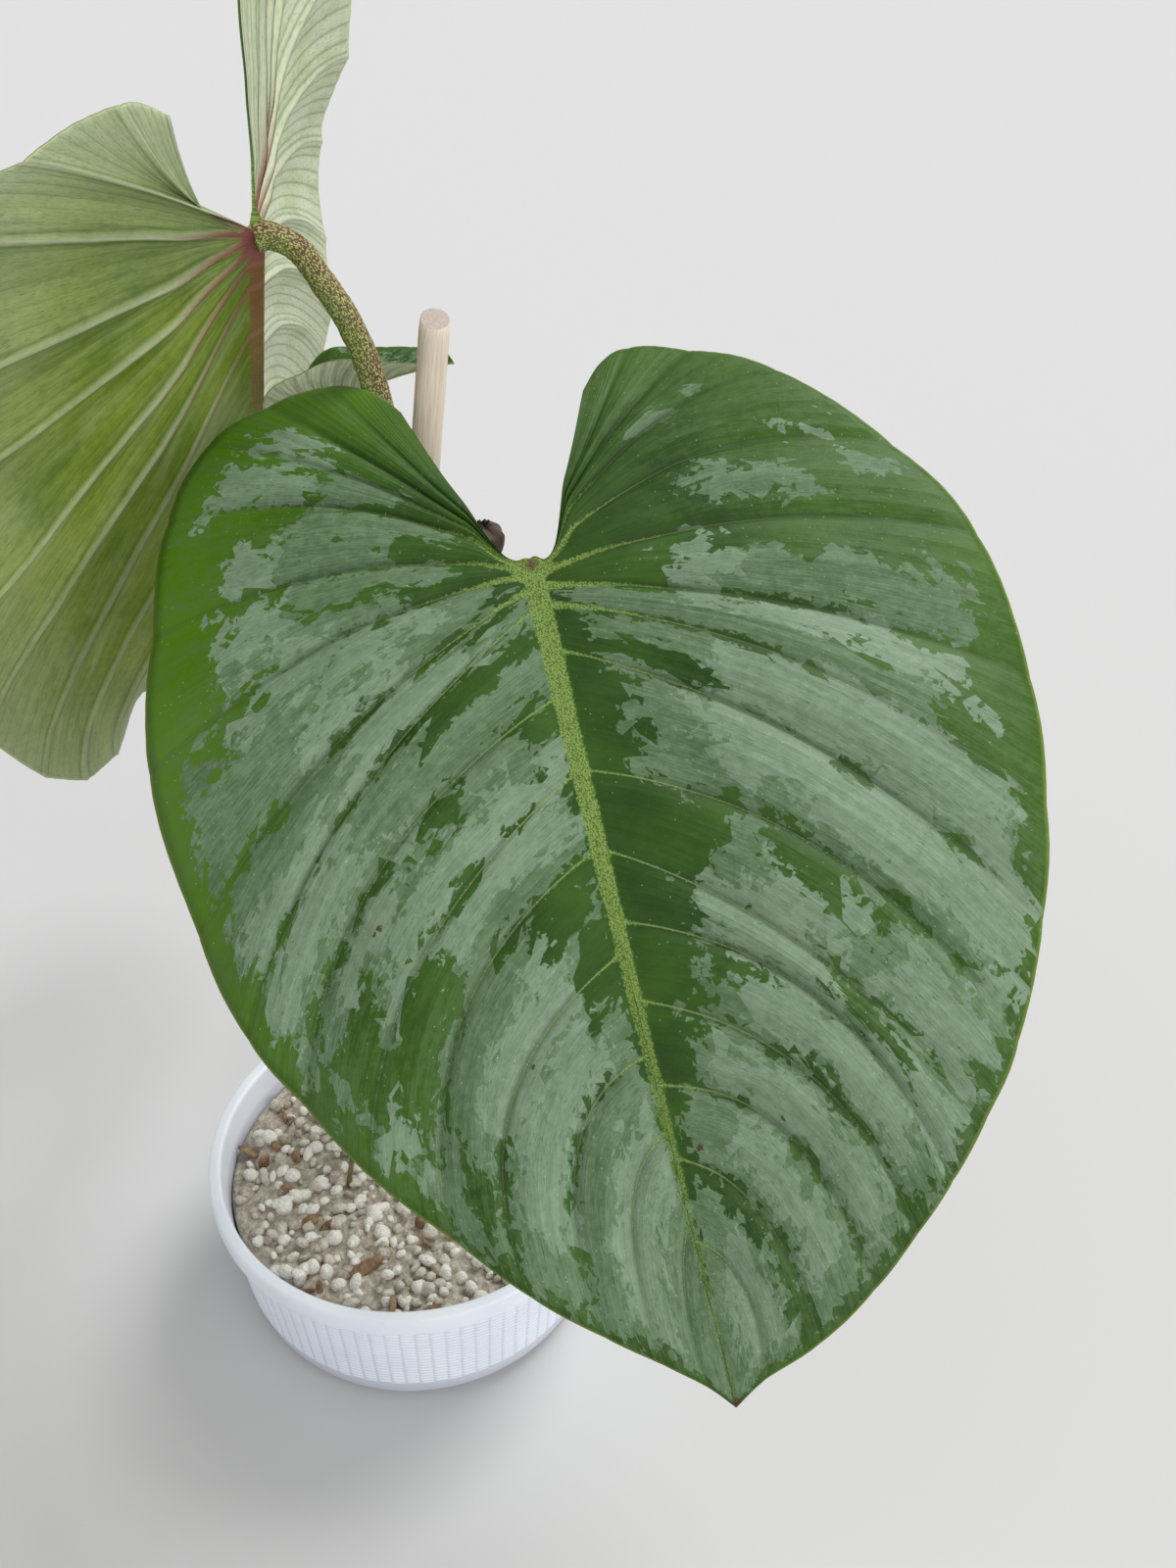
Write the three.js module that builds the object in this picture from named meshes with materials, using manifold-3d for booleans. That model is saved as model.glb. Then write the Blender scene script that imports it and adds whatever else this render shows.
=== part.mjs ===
// Potted philodendron sodiroi: three heart-shaped leaves on warty stalks, a short climbing stem
// beside a wooden stake, and a shallow pot with a woven-look wall, filled with chunky mix.
// Millimetres, +Z up. The origin is the centre of the pot's base, on the surface it stands on.

import * as THREE from 'three';
import { mergeVertices } from 'three/addons/utils/BufferGeometryUtils.js';
import Module from 'manifold-3d';

const wasm = await Module();
wasm.setup();

// Driving dimensions

const GAP = 0.3;

const POT_HEIGHT = 50;
const RIM_RADIUS = 61.5;
const RIM_WIDTH = 3.8;
const RIM_DEPTH = 6.6;
const WALL = 2;
const BASE_RADIUS = 50;
const FOOT_RADIUS = 54;
const FOOT_HEIGHT = 2.5;
const CORNER_RADIUS = 55.5;
const CORNER_HEIGHT = 9;
const WEAVE_COLUMNS = 48;
const WEAVE_RELIEF = 0.7;
const DRAIN_HOLES = 5;
const DRAIN_RADIUS = 4;
const DRAIN_RING = 27;

const MIX_TOP = 39;
const MIX_EDGE_DROP = 1.5;
const MIX_RINGS = 5;
const MIX_SECTORS = 32;
const MIX_CRUMBS = 22;
const CRUMB_RADIUS = [2, 4.2];
const CRUMB_INSET = 7;

const STAKE_RADIUS = 4;
const STAKE_FOOT = new THREE.Vector3(-17.5, 25.5, 4);
const STAKE_TOP = new THREE.Vector3(14, 80.5, 278);
const STAKE_SAWN_OFF = 3;
const STAKE_END_WAY = new THREE.Vector3(0.13, -0.23, 0.97);

const BLADE_THICKNESS = 0.9;
const PLEAT_DEPTH = 1.6;
const RIB_HEIGHT = 1.5;
const RIB_SHARE_ABOVE = 0.3;
const NOTCH_CORNER = [3.5, 13];

// How many flat faces the round parts have
const STAKE_SIDES = 24;
const STEM_FACES = { steps: 24, sides: 10 };
const ROOT_FACES = { steps: 7, sides: 5 };
const STALK_FACES = { steps: 18, sides: 10 };
const SHEATH_FACES = { steps: 8, curveSegments: 6 };

// Blades. A blade is drawn flat first: x runs across it, y along the midrib from the stalk
// point to the tip. Each row is a side vein, from the notch to the tip, in mm:
// [start on the midrib, bend x, bend y, margin x, margin y, lift of the margin, groove 0..1].
// notchRounding draws the notch in beside the stalk, from a V towards a U.

const FRONT_LEAF = {
  stalkPoint: new THREE.Vector3(39.5, 19.5, 242),
  tipWay: new THREE.Vector3(0.211, -0.88, -0.43),
  faceWay: new THREE.Vector3(-0.12, -0.46, 0.88),
  length: 198,
  bend: 25,
  lobeLift: -3,
  ribWidth: 3,
  relief: 1,
  sides: {
    1: {
      fold: 10,
      curl: 26,
      notchRounding: 0.6,
      veins: [
        [-1.6, 13, -13, 24, -58, 0, 0],
        [-1.3, 16, -18, 31, -69.5, 0, 0],
        [-1, 20, -25, 43, -78, 0, 0.4],
        [-0.6, 26, -32, 60, -78, -1, 0.8],
        [-0.3, 33, -36, 76.5, -69, 0, 0.5],
        [0, 40, -38, 89, -43, 1, 1],
        [1, 45, -18, 97, -10, -1, 1],
        [3, 47, -1, 101, 27, 1, 1],
        [6, 56, 27, 96, 69, -1, 0.9],
        [11, 67, 49, 87, 96, 1, 0.9],
        [35, 62, 60, 78, 113, -1, 1],
        [54, 58, 86, 65, 132, 1, 0.5],
        [73, 51, 95, 51, 149, -1, 1],
        [97, 46, 118, 37, 164, 1, 0.8],
        [120, 29, 127, 24, 176, 0, 1],
        [137, 17, 145, 13, 185, 0, 0.6],
        [156, 7, 170, 5, 192, 0, 0.4],
        [190, 0, 194, 0, 198, 0, 0],
      ],
    },
    '-1': {
      fold: 10,
      curl: 26,
      notchRounding: 0.88,
      veins: [
        [-1.6, 12, -14, 23, -48.5, 0, 0],
        [-1.3, 14.5, -18, 29, -56.6, 0, 0],
        [-1, 18, -24, 37, -60, 0, 0.6],
        [-0.6, 26, -35, 52, -54.7, -1, 0.8],
        [0, 35, -40, 71, -39.6, 1, 0.8],
        [1, 44, -32, 94, -11.8, -1, 1],
        [3, 60, -4, 106, 18, 1, 1],
        [6, 57, 21, 108, 56, -1, 1],
        [11, 53, 31, 101, 87, 1, 0.5],
        [23, 58, 55, 93, 112, -1, 1],
        [54, 57, 76, 79, 136, 1, 1],
        [73, 42, 98, 68, 150, 0, 0.5],
        [90, 48, 107, 57, 161, 1, 1],
        [108, 41, 124, 47, 170, 0, 0.5],
        [127, 33, 134, 35, 180, -1, 1],
        [143, 20, 151, 21, 188, 0, 0.5],
        [161, 12, 169, 8, 193, 0, 0.5],
        [190, 0, 194, 0, 198, 0, 0],
      ],
    },
  },
};

const LEFT_LEAF = {
  stalkPoint: new THREE.Vector3(-32.4, 95.7, 294),
  tipWay: new THREE.Vector3(-0.17, 0.3, -0.94),
  faceWay: new THREE.Vector3(-0.92, 0.29, 0.26),
  length: 216,
  bend: 3,
  lobeLift: 0,
  ribWidth: 3.2,
  relief: 1,
  sides: {
    1: {
      fold: 30,
      curl: 26,
      notchRounding: 0,
      veins: [
        [-3, 16, -16, 28, -66, 6, 0],
        [-2, 23, -26, 54, -82, 4, 0.8],
        [-1, 33, -38, 84, -79, 1, 0.8],
        [0, 49, -44, 105, -51, -1, 1],
        [1, 57, -22, 118, -12, -3, 1],
        [4, 59, -1, 123, 26, 0, 1],
        [7, 66, 18, 121, 58, 7, 1],
        [14, 70, 38, 113, 88, 1, 1],
        [24, 73, 58, 108, 108, -6, 1],
        [46, 74, 80, 101, 127, -4, 1],
        [72, 68, 104, 90, 146, 2, 0.7],
        [98, 56, 128, 74, 165, 3, 1],
        [124, 43, 148, 56, 182, -2, 0.6],
        [148, 30, 168, 38, 197, 1, 1],
        [170, 17, 184, 21, 207, 0, 0.5],
        [188, 8, 197, 9, 212, 0, 0.4],
        [206, 0, 211, 0, 216, 0, 0],
      ],
    },
    '-1': {
      fold: 7,
      curl: -21,
      notchRounding: 0,
      veins: [
        [-3, 22, -5, 31, -51, 0, 0],
        [-2, 30, -22, 46, -61, 0, 0.6],
        [-1, 46, -46, 72, -59, 0, 0.9],
        [0, 66, -44, 105, -51, 0, 1],
        [1, 64, -19, 118, -12, -2, 1],
        [4, 73, 0, 123, 33, 2, 1],
        [7, 79, 31, 117, 84, -2, 1],
        [14, 84, 62, 107, 117, 1, 1],
        [30, 88, 90, 93, 148, 0, 1],
        [60, 82, 106, 80, 162, 0, 0.8],
        [85, 72, 122, 66, 164, 3, 0.9],
        [110, 50, 140, 41, 169, 19, 0.8],
        [136, 34, 158, 35, 182, 13, 1],
        [160, 22, 177, 25, 195, 7, 0.6],
        [184, 10, 196, 12, 207, 2, 0.4],
        [206, 0, 211, 0, 216, 0, 0],
      ],
    },
  },
};

// The small back leaf is folded steeply, and its pleats and rib are lower
const BACK_LEAF = {
  stalkPoint: new THREE.Vector3(-19.4, 108.1, 240),
  tipWay: new THREE.Vector3(0.83, 0.05, 0.56),
  faceWay: new THREE.Vector3(-0.56, 0.15, 0.81),
  length: 38,
  bend: 28,
  lobeLift: 0,
  ribWidth: 1.2,
  relief: 0.25,
  sides: {
    1: {
      fold: 48,
      curl: 105,
      notchRounding: 0,
      veins: [
        [-0.6, 2, -4, 5, -11, 0, 0],
        [-0.4, 6, -7, 13, -12.5, 3, 0.8],
        [0, 10, -6, 19, -6, 4, 0.8],
        [0.5, 11, -2, 19.5, 3, 2.5, 1],
        [2, 11, 4, 18, 11, 2, 1],
        [6, 10, 10, 15.5, 18, -0.7, 1],
        [12, 8, 16, 12, 25, -2.8, 0.8],
        [19, 5, 23, 7.5, 31, -3, 0.8],
        [27, 2, 31, 3, 35.5, -1.7, 0.5],
        [36, 0, 37, 0, 38, 0, 0],
      ],
    },
    '-1': {
      fold: 30,
      curl: 105,
      notchRounding: 0,
      veins: [
        [-0.6, 2, -4, 5, -11, 0, 0],
        [-0.4, 6, -7, 13, -12.5, 2, 0.8],
        [0, 10, -6, 19, -6, 3, 0.8],
        [0.5, 11, -2, 19.5, 3, 5, 1],
        [2, 11, 4, 18, 11, 1.3, 1],
        [6, 10, 10, 15.5, 18, -0.5, 1],
        [12, 8, 16, 12, 25, -1, 0.8],
        [19, 5, 23, 7.5, 31, 0, 0.8],
        [27, 2, 31, 3, 35.5, 2.4, 0.5],
        [36, 0, 37, 0, 38, 0, 0],
      ],
    },
  },
};

// The parts of the way from midrib to margin where a blade has its corners
const VEIN_STEPS = [0, 0.06, 0.16, 0.31, 0.48, 0.66, 0.84, 1];
const BACK_VEIN_STEPS = [0, 0.15, 0.4, 0.7, 1];

// Stalks: the points that each one passes through, from the stem to its blade, and its radius
const FRONT_STALK = {
  path: [[10.5, 37, 114], [14.5, 37.5, 115], [25.5, 39.5, 136], [36.5, 46.5, 178], [43.5, 43.5, 216], [41.5, 28, 232],
    [40, 22, 238.5]],
  from: 4.2,
  to: 3.4,
};
const LEFT_STALK = {
  path: [[2, 39, 136], [-2.5, 36, 137], [-8, 42.5, 158], [-4.5, 60.5, 200], [-0.5, 78.5, 240], [-4.6, 87.2, 260.2],
    [-9.8, 91, 273], [-15.9, 93.8, 282.3], [-21.8, 95.3, 290.6], [-28.7, 95.2, 294]],
  from: 4.2,
  to: 3.5,
};
const BACK_STALK = {
  path: [[8.5, 43.5, 122], [10.5, 47, 123], [11, 66, 150], [1, 88, 190], [-14.4, 106.8, 232.7], [-18.6, 107.9, 238.8]],
  from: 2.2,
  to: 1.5,
};

const STEM_PATH = [[-7.5, 17.5, 12], [-3.5, 24.5, 50], [1.5, 32.5, 90], [6.5, 40.5, 130], [9.5, 45.5, 158]];
const STEM_RADIUS = 5.2;
const STEM_TAPER = 1.4;
const STEM_NODES = 6;
const NODE_SWELLING = 0.8;
const AERIAL_ROOTS = [
  [[1.5, 32.5, 90], [10.5, 22.5, 84], [20.5, 6.5, 64], [22.5, -3.5, 42], [20.5, -8.5, 30]],
  [[0.5, 29.5, 78], [-5.5, 18.5, 72], [-15.5, 4.5, 56], [-19.5, -5.5, 41], [-19.5, -8.5, 30]],
  [[-2.5, 27.5, 64], [6.5, 29.5, 59], [15.5, 28.5, 48], [18.5, 28.5, 40], [18.5, 27.5, 30]],
  [[4.5, 36.5, 110], [13.5, 28.5, 104], [20.5, 23.5, 93], [20.5, 21.5, 83]],
];
const ROOT_RADIUS = 1.1;

const SHEATH_PATH = [[10, 47, 161.5], [14.5, 53.5, 180], [20.5, 58.5, 204], [25, 59.5, 224], [26, 60, 231]];
const SHEATH_RADIUS = 4.4;
const SHEATH_WALL = 0.8;
const SHEATH_TURN = [0.5, 5.2];

// Small helpers

function seededRandom(seed) {
  let state = seed;
  return () => {
    state = (state * 1664525 + 1013904223) % 4294967296;
    return state / 4294967296;
  };
}

function smooth(from, to, value) {
  return THREE.MathUtils.smoothstep(value, from, to);
}

function points(list) {
  return list.map((place) => new THREE.Vector3(...place));
}

function geometryFrom(corners, faces) {
  const geometry = new THREE.BufferGeometry();
  geometry.setAttribute('position', new THREE.Float32BufferAttribute(corners.flat(), 3));
  geometry.setIndex(faces.flat());
  geometry.computeVertexNormals();
  return geometry;
}

function toSolid(geometry) {
  const bare = geometry.clone();
  bare.deleteAttribute('normal');
  bare.deleteAttribute('uv');
  const merged = mergeVertices(bare, 1e-3);
  return new wasm.Manifold(new wasm.Mesh({
    numProp: 3,
    vertProperties: new Float32Array(merged.attributes.position.array),
    triVerts: new Uint32Array(merged.index.array),
  }));
}

function toGeometry(solid) {
  const mesh = solid.getMesh();
  const geometry = new THREE.BufferGeometry();
  geometry.setAttribute('position', new THREE.BufferAttribute(new Float32Array(mesh.vertProperties), 3));
  geometry.setIndex(new THREE.BufferAttribute(new Uint32Array(mesh.triVerts), 1));
  geometry.computeVertexNormals();
  return geometry;
}

function named(name, geometry, color, roughness) {
  const mesh = new THREE.Mesh(geometry, new THREE.MeshStandardMaterial({ color, roughness, metalness: 0 }));
  mesh.name = name;
  return mesh;
}

// A closed round tube along a smooth curve; radiusAt gives its radius from 0 to 1 along it
function tube(path, radiusAt, { steps, sides }) {
  const curve = new THREE.CatmullRomCurve3(points(path));
  const frames = curve.computeFrenetFrames(steps, false);
  const corners = [];
  const faces = [];
  for (let i = 0; i <= steps; i += 1) {
    const centre = curve.getPointAt(i / steps);
    for (let j = 0; j < sides; j += 1) {
      const angle = (2 * Math.PI * j) / sides;
      const corner = centre.clone()
        .addScaledVector(frames.normals[i], Math.cos(angle) * radiusAt(i / steps))
        .addScaledVector(frames.binormals[i], Math.sin(angle) * radiusAt(i / steps));
      corners.push(corner.toArray());
    }
  }
  const start = corners.push(curve.getPointAt(0).toArray()) - 1;
  const end = corners.push(curve.getPointAt(1).toArray()) - 1;
  for (let j = 0; j < sides; j += 1) {
    const next = (j + 1) % sides;
    for (let i = 0; i < steps; i += 1) {
      const low = i * sides;
      const high = low + sides;
      faces.push([low + j, low + next, high + next], [low + j, high + next, high + j]);
    }
    faces.push([start, next, j], [end, steps * sides + j, steps * sides + next]);
  }
  return geometryFrom(corners, faces);
}

// Blades

// Where between two veins a station on the midrib lies, as a row number with a fraction
function rowAt(veins, start) {
  let row = 0;
  while (row < veins.length - 2 && veins[row + 1][0] <= start) row += 1;
  return row + (start - veins[row][0]) / (veins[row + 1][0] - veins[row][0]);
}

// A vein between the drawn ones: a smooth curve through the four nearest rows
function blendedVein(veins, place) {
  const last = veins.length - 1;
  const row = Math.min(Math.floor(place), last - 1);
  const f = place - row;
  const [a, b, c, d] = [row - 1, row, row + 1, row + 2].map((i) => veins[THREE.MathUtils.clamp(i, 0, last)]);
  return b.map((value, i) => 0.5 * (2 * value + (c[i] - a[i]) * f
    + (2 * a[i] - 5 * value + 4 * c[i] - d[i]) * f * f
    + (3 * value - a[i] - 3 * c[i] + d[i]) * f * f * f));
}

// The flat place and the height at the part s of the way from the midrib to the margin
function flatPoint({ sides, relief }, side, start, s) {
  const { veins, notchRounding } = sides[side];
  const place = rowAt(veins, start);
  const [, bendX, bendY, endX, endY, lift] = blendedVein(veins, place);
  const nearest = Math.round(place);
  const closeness = 1 - 2 * Math.abs(place - nearest);
  const groove = veins[nearest][6] * closeness ** 1.5 * smooth(0, 0.3, s) * (1 - 0.6 * smooth(0.6, 1, s));
  const x = 2 * s * (1 - s) * bendX + s * s * endX;
  const y = (1 - s) * (1 - s) * start + 2 * s * (1 - s) * bendY + s * s * endY;
  const drawnIn = notchRounding * smooth(0, NOTCH_CORNER[0], x) * (1 - smooth(...NOTCH_CORNER, x));
  return {
    x,
    y: y < 0 ? y * (1 - drawnIn) : y,
    height: lift * s * s - relief * PLEAT_DEPTH * groove,
  };
}

// The flat place carried onto the bent blade: the midrib bends down along an arc, and each
// half rises from it by its fold and then curls down evenly
function bentPoint(leaf, side, x, y, height) {
  const along = THREE.MathUtils.degToRad(leaf.bend) / leaf.length;
  const fold = THREE.MathUtils.degToRad(leaf.sides[side].fold);
  const curl = THREE.MathUtils.degToRad(leaf.sides[side].curl) / 100;
  const tilt = x > 0 ? fold - curl * x : 0;
  const across = (Math.sin(fold) - Math.sin(fold - curl * x)) / curl - Math.sin(tilt) * height;
  const lobe = y < 0 ? leaf.lobeLift * (y / 50) ** 2 : 0;
  const up = (Math.cos(fold - curl * x) - Math.cos(fold)) / curl + Math.cos(tilt) * height + lobe;
  const turn = along * y;
  return [
    side * across,
    Math.sin(turn) / along + Math.sin(turn) * up,
    (Math.cos(turn) - 1) / along + Math.cos(turn) * up,
  ];
}

// Where the veins of either side leave the midrib, with a station halfway between each two
function midribStations(leaf) {
  const starts = [...leaf.sides[1].veins, ...leaf.sides['-1'].veins].map((vein) => vein[0]);
  const sorted = [...new Set(starts)].sort((a, b) => a - b);
  return sorted.flatMap((start, i) => (i ? [(sorted[i - 1] + start) / 2, start] : [start]));
}

function bladeGeometry(leaf, steps) {
  const stations = midribStations(leaf);
  const corners = [];
  const faces = [];

  // Both faces of one side, as a grid of corners: half the thickness and the rib on each
  function corner(side, start, s, face) {
    const flat = flatPoint(leaf, side, start, s);
    const ribHalf = leaf.ribWidth * (1 - 0.8 * Math.max(0, flat.y / leaf.length));
    const rib = RIB_HEIGHT * Math.max(0, 1 - flat.x / ribHalf) * (1 - smooth(0.7, 1, flat.y / leaf.length));
    const share = face > 0 ? RIB_SHARE_ABOVE : 1;
    const height = flat.height + face * (BLADE_THICKNESS / 2 + share * leaf.relief * rib);
    return corners.push(bentPoint(leaf, side, flat.x, flat.y, height)) - 1;
  }

  for (const side of [1, -1]) {
    const upper = stations.map((start) => steps.map((s) => corner(side, start, s, 1)));
    const lower = stations.map((start) => steps.map((s) => corner(side, start, s, -1)));
    const add = (a, b, c) => faces.push(side > 0 ? [a, b, c] : [a, c, b]);
    for (let i = 1; i < stations.length; i += 1) {
      for (let j = 1; j < steps.length; j += 1) {
        add(upper[i - 1][j - 1], upper[i - 1][j], upper[i][j]);
        add(upper[i - 1][j - 1], upper[i][j], upper[i][j - 1]);
        add(lower[i - 1][j - 1], lower[i][j], lower[i - 1][j]);
        add(lower[i - 1][j - 1], lower[i][j - 1], lower[i][j]);
      }
      const rim = steps.length - 1;
      add(upper[i - 1][rim], lower[i - 1][rim], lower[i][rim]);
      add(upper[i - 1][rim], lower[i][rim], upper[i][rim]);
    }
    for (let j = 1; j < steps.length; j += 1) {
      add(upper[0][j - 1], lower[0][j - 1], lower[0][j]);
      add(upper[0][j - 1], lower[0][j], upper[0][j]);
    }
  }
  return toGeometry(toSolid(geometryFrom(corners, faces)));
}

function blade(name, leaf, steps, color) {
  const tip = leaf.tipWay.clone().normalize();
  const face = leaf.faceWay.clone().addScaledVector(tip, -leaf.faceWay.dot(tip)).normalize();
  const across = new THREE.Vector3().crossVectors(tip, face);
  const mesh = named(name, bladeGeometry(leaf, steps), color, 0.45);
  mesh.position.copy(leaf.stalkPoint);
  mesh.quaternion.setFromRotationMatrix(new THREE.Matrix4().makeBasis(across, tip, face));
  return mesh;
}

function stalk(name, form, color) {
  const taper = (t) => THREE.MathUtils.lerp(form.from, form.to, t);
  return named(name, tube(form.path, taper, STALK_FACES), color, 0.6);
}

// Pot

function turned(outline, segments) {
  return new THREE.LatheGeometry(outline.map(([r, z]) => new THREE.Vector2(r, z)), segments)
    .rotateX(Math.PI / 2);
}

// The wall between the corner and the rim stands in and out by half a weave column at a time
function pot() {
  const underRim = POT_HEIGHT - RIM_DEPTH;
  const wallTop = RIM_RADIUS - RIM_WIDTH + 1;
  const outline = [
    [0, 0], [BASE_RADIUS, 0], [FOOT_RADIUS, FOOT_HEIGHT], [CORNER_RADIUS, CORNER_HEIGHT], [wallTop, underRim],
    [RIM_RADIUS, underRim], [RIM_RADIUS, POT_HEIGHT], [RIM_RADIUS - RIM_WIDTH, POT_HEIGHT],
    [CORNER_RADIUS - WALL, CORNER_HEIGHT], [BASE_RADIUS - 1, WALL], [0, WALL],
  ];
  const geometry = turned(outline, 2 * WEAVE_COLUMNS);
  const place = geometry.attributes.position;
  for (let i = 0; i < place.count; i += 1) {
    const ring = i % outline.length;
    const column = Math.round(i / outline.length - 0.5);
    if ((ring === 3 || ring === 4) && column % 2 === 1) {
      const radius = Math.hypot(place.getX(i), place.getY(i));
      const scale = 1 - WEAVE_RELIEF / radius;
      place.setXY(i, place.getX(i) * scale, place.getY(i) * scale);
    }
  }
  let solid = toSolid(geometry);
  for (let i = 0; i < DRAIN_HOLES; i += 1) {
    const angle = (2 * Math.PI * i) / DRAIN_HOLES;
    const hole = new THREE.CylinderGeometry(DRAIN_RADIUS, DRAIN_RADIUS, 4 * WALL, 16)
      .rotateX(Math.PI / 2)
      .translate(DRAIN_RING * Math.cos(angle), DRAIN_RING * Math.sin(angle), WALL / 2);
    solid = solid.subtract(toSolid(hole));
  }
  return named('pot', toGeometry(solid), '#dde5f0', 0.45);
}

// Stem, stake and mix. Each takes a clearance, so that the mix can be cut by the same shapes.

function stemGeometry(clearance) {
  const swelling = (t) => NODE_SWELLING * Math.max(0, Math.cos(2 * Math.PI * STEM_NODES * t)) ** 6;
  const stem = tube(STEM_PATH, (t) => STEM_RADIUS - STEM_TAPER * t + swelling(t) + clearance, STEM_FACES);
  return AERIAL_ROOTS
    .map((path) => toSolid(tube(path, (t) => ROOT_RADIUS * (1 - 0.4 * t) + clearance, ROOT_FACES)))
    .reduce((joined, root) => joined.add(root), toSolid(stem));
}

function stakeGeometry(clearance) {
  const length = STAKE_FOOT.distanceTo(STAKE_TOP) + STAKE_SAWN_OFF + 2 * clearance;
  return new THREE.CylinderGeometry(STAKE_RADIUS + clearance, STAKE_RADIUS + clearance, length, STAKE_SIDES)
    .translate(0, STAKE_SAWN_OFF / 2, 0);
}

function placeStake(object) {
  const way = STAKE_TOP.clone().sub(STAKE_FOOT).normalize();
  object.position.copy(STAKE_FOOT).add(STAKE_TOP).multiplyScalar(0.5);
  object.quaternion.setFromUnitVectors(new THREE.Vector3(0, 1, 0), way);
  return object;
}

// The dowel's upper end is sawn off aslant
function stake() {
  const turnedBack = placeStake(new THREE.Object3D()).quaternion.invert();
  const keep = STAKE_END_WAY.clone().applyQuaternion(turnedBack).normalize().negate();
  const sawn = toSolid(stakeGeometry(0)).trimByPlane(keep.toArray(), keep.y * STAKE_FOOT.distanceTo(STAKE_TOP) / 2);
  return placeStake(named('stake', toGeometry(sawn), '#dccdb9', 0.7));
}

// The mix fills the pot to below its rim. Its top is uneven, and crumbs stand out of it.
function mixSurface(x, y) {
  return MIX_TOP + 0.8 * Math.sin(0.16 * x + 1) * Math.cos(0.14 * y) + 0.5 * Math.sin(0.31 * x - 0.27 * y);
}

function mix() {
  const wallSlope = (RIM_RADIUS - RIM_WIDTH - CORNER_RADIUS + WALL) / (POT_HEIGHT - CORNER_HEIGHT);
  const topRadius = CORNER_RADIUS - WALL + wallSlope * (MIX_TOP - MIX_EDGE_DROP - CORNER_HEIGHT) - 2 * GAP;
  const outline = [[0, WALL + GAP], [BASE_RADIUS - 2, WALL + GAP], [CORNER_RADIUS - WALL - 2 * GAP, CORNER_HEIGHT]];
  for (let i = 0; i <= MIX_RINGS; i += 1) outline.push([topRadius * (1 - i / MIX_RINGS), MIX_TOP]);
  const geometry = turned(outline, MIX_SECTORS);
  const place = geometry.attributes.position;
  for (let i = 0; i < place.count; i += 1) {
    if (place.getZ(i) > MIX_TOP - 1) {
      const radius = Math.hypot(place.getX(i), place.getY(i));
      const edge = smooth(topRadius - 1, topRadius, radius);
      place.setZ(i, mixSurface(place.getX(i), place.getY(i)) * (1 - edge) + (MIX_TOP - MIX_EDGE_DROP) * edge);
    }
  }
  let solid = toSolid(geometry);
  const random = seededRandom(7);
  for (let i = 0; i < MIX_CRUMBS; i += 1) {
    const radius = (topRadius - CRUMB_INSET) * Math.sqrt((i + 0.5) / MIX_CRUMBS);
    const angle = i * Math.PI * (3 - Math.sqrt(5));
    const [x, y] = [radius * Math.cos(angle), radius * Math.sin(angle)];
    const crumb = new THREE.IcosahedronGeometry(THREE.MathUtils.lerp(...CRUMB_RADIUS, random()), 0)
      .rotateX(6 * random())
      .rotateZ(6 * random())
      .scale(1.2, 0.9, 0.7)
      .translate(x, y, mixSurface(x, y) + 0.3);
    solid = solid.add(toSolid(crumb));
  }
  const stakeHole = placeStake(new THREE.Object3D());
  stakeHole.updateMatrix();
  solid = solid.subtract(stemGeometry(GAP));
  solid = solid.subtract(toSolid(stakeGeometry(GAP).applyMatrix4(stakeHole.matrix)));
  return named('potting_mix', toGeometry(solid), '#3a2a20', 0.95);
}

// The dried sheath is a strip curled round into most of a ring
function sheath() {
  const section = new THREE.Shape();
  section.absarc(0, 0, SHEATH_RADIUS, ...SHEATH_TURN, false);
  section.absarc(0, 0, SHEATH_RADIUS - SHEATH_WALL, ...SHEATH_TURN.toReversed(), true);
  const geometry = new THREE.ExtrudeGeometry(section, {
    ...SHEATH_FACES,
    bevelEnabled: false,
    extrudePath: new THREE.CatmullRomCurve3(points(SHEATH_PATH)),
  });
  return named('cataphyll', toGeometry(toSolid(geometry)), '#3b302c', 0.8);
}

const plant = new THREE.Group();
plant.add(
  pot(),
  mix(),
  named('stem', toGeometry(stemGeometry(0)), '#7d7a4a', 0.7),
  stake(),
  stalk('petiole_front', FRONT_STALK, '#93a257'),
  blade('leaf_front', FRONT_LEAF, VEIN_STEPS, '#4f7f45'),
  stalk('petiole_left', LEFT_STALK, '#93a257'),
  blade('leaf_left', LEFT_LEAF, VEIN_STEPS, '#6f9a58'),
  stalk('petiole_back', BACK_STALK, '#93a257'),
  blade('leaf_back', BACK_LEAF, BACK_VEIN_STEPS, '#4c7a48'),
  sheath(),
);

export default plant;
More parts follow.
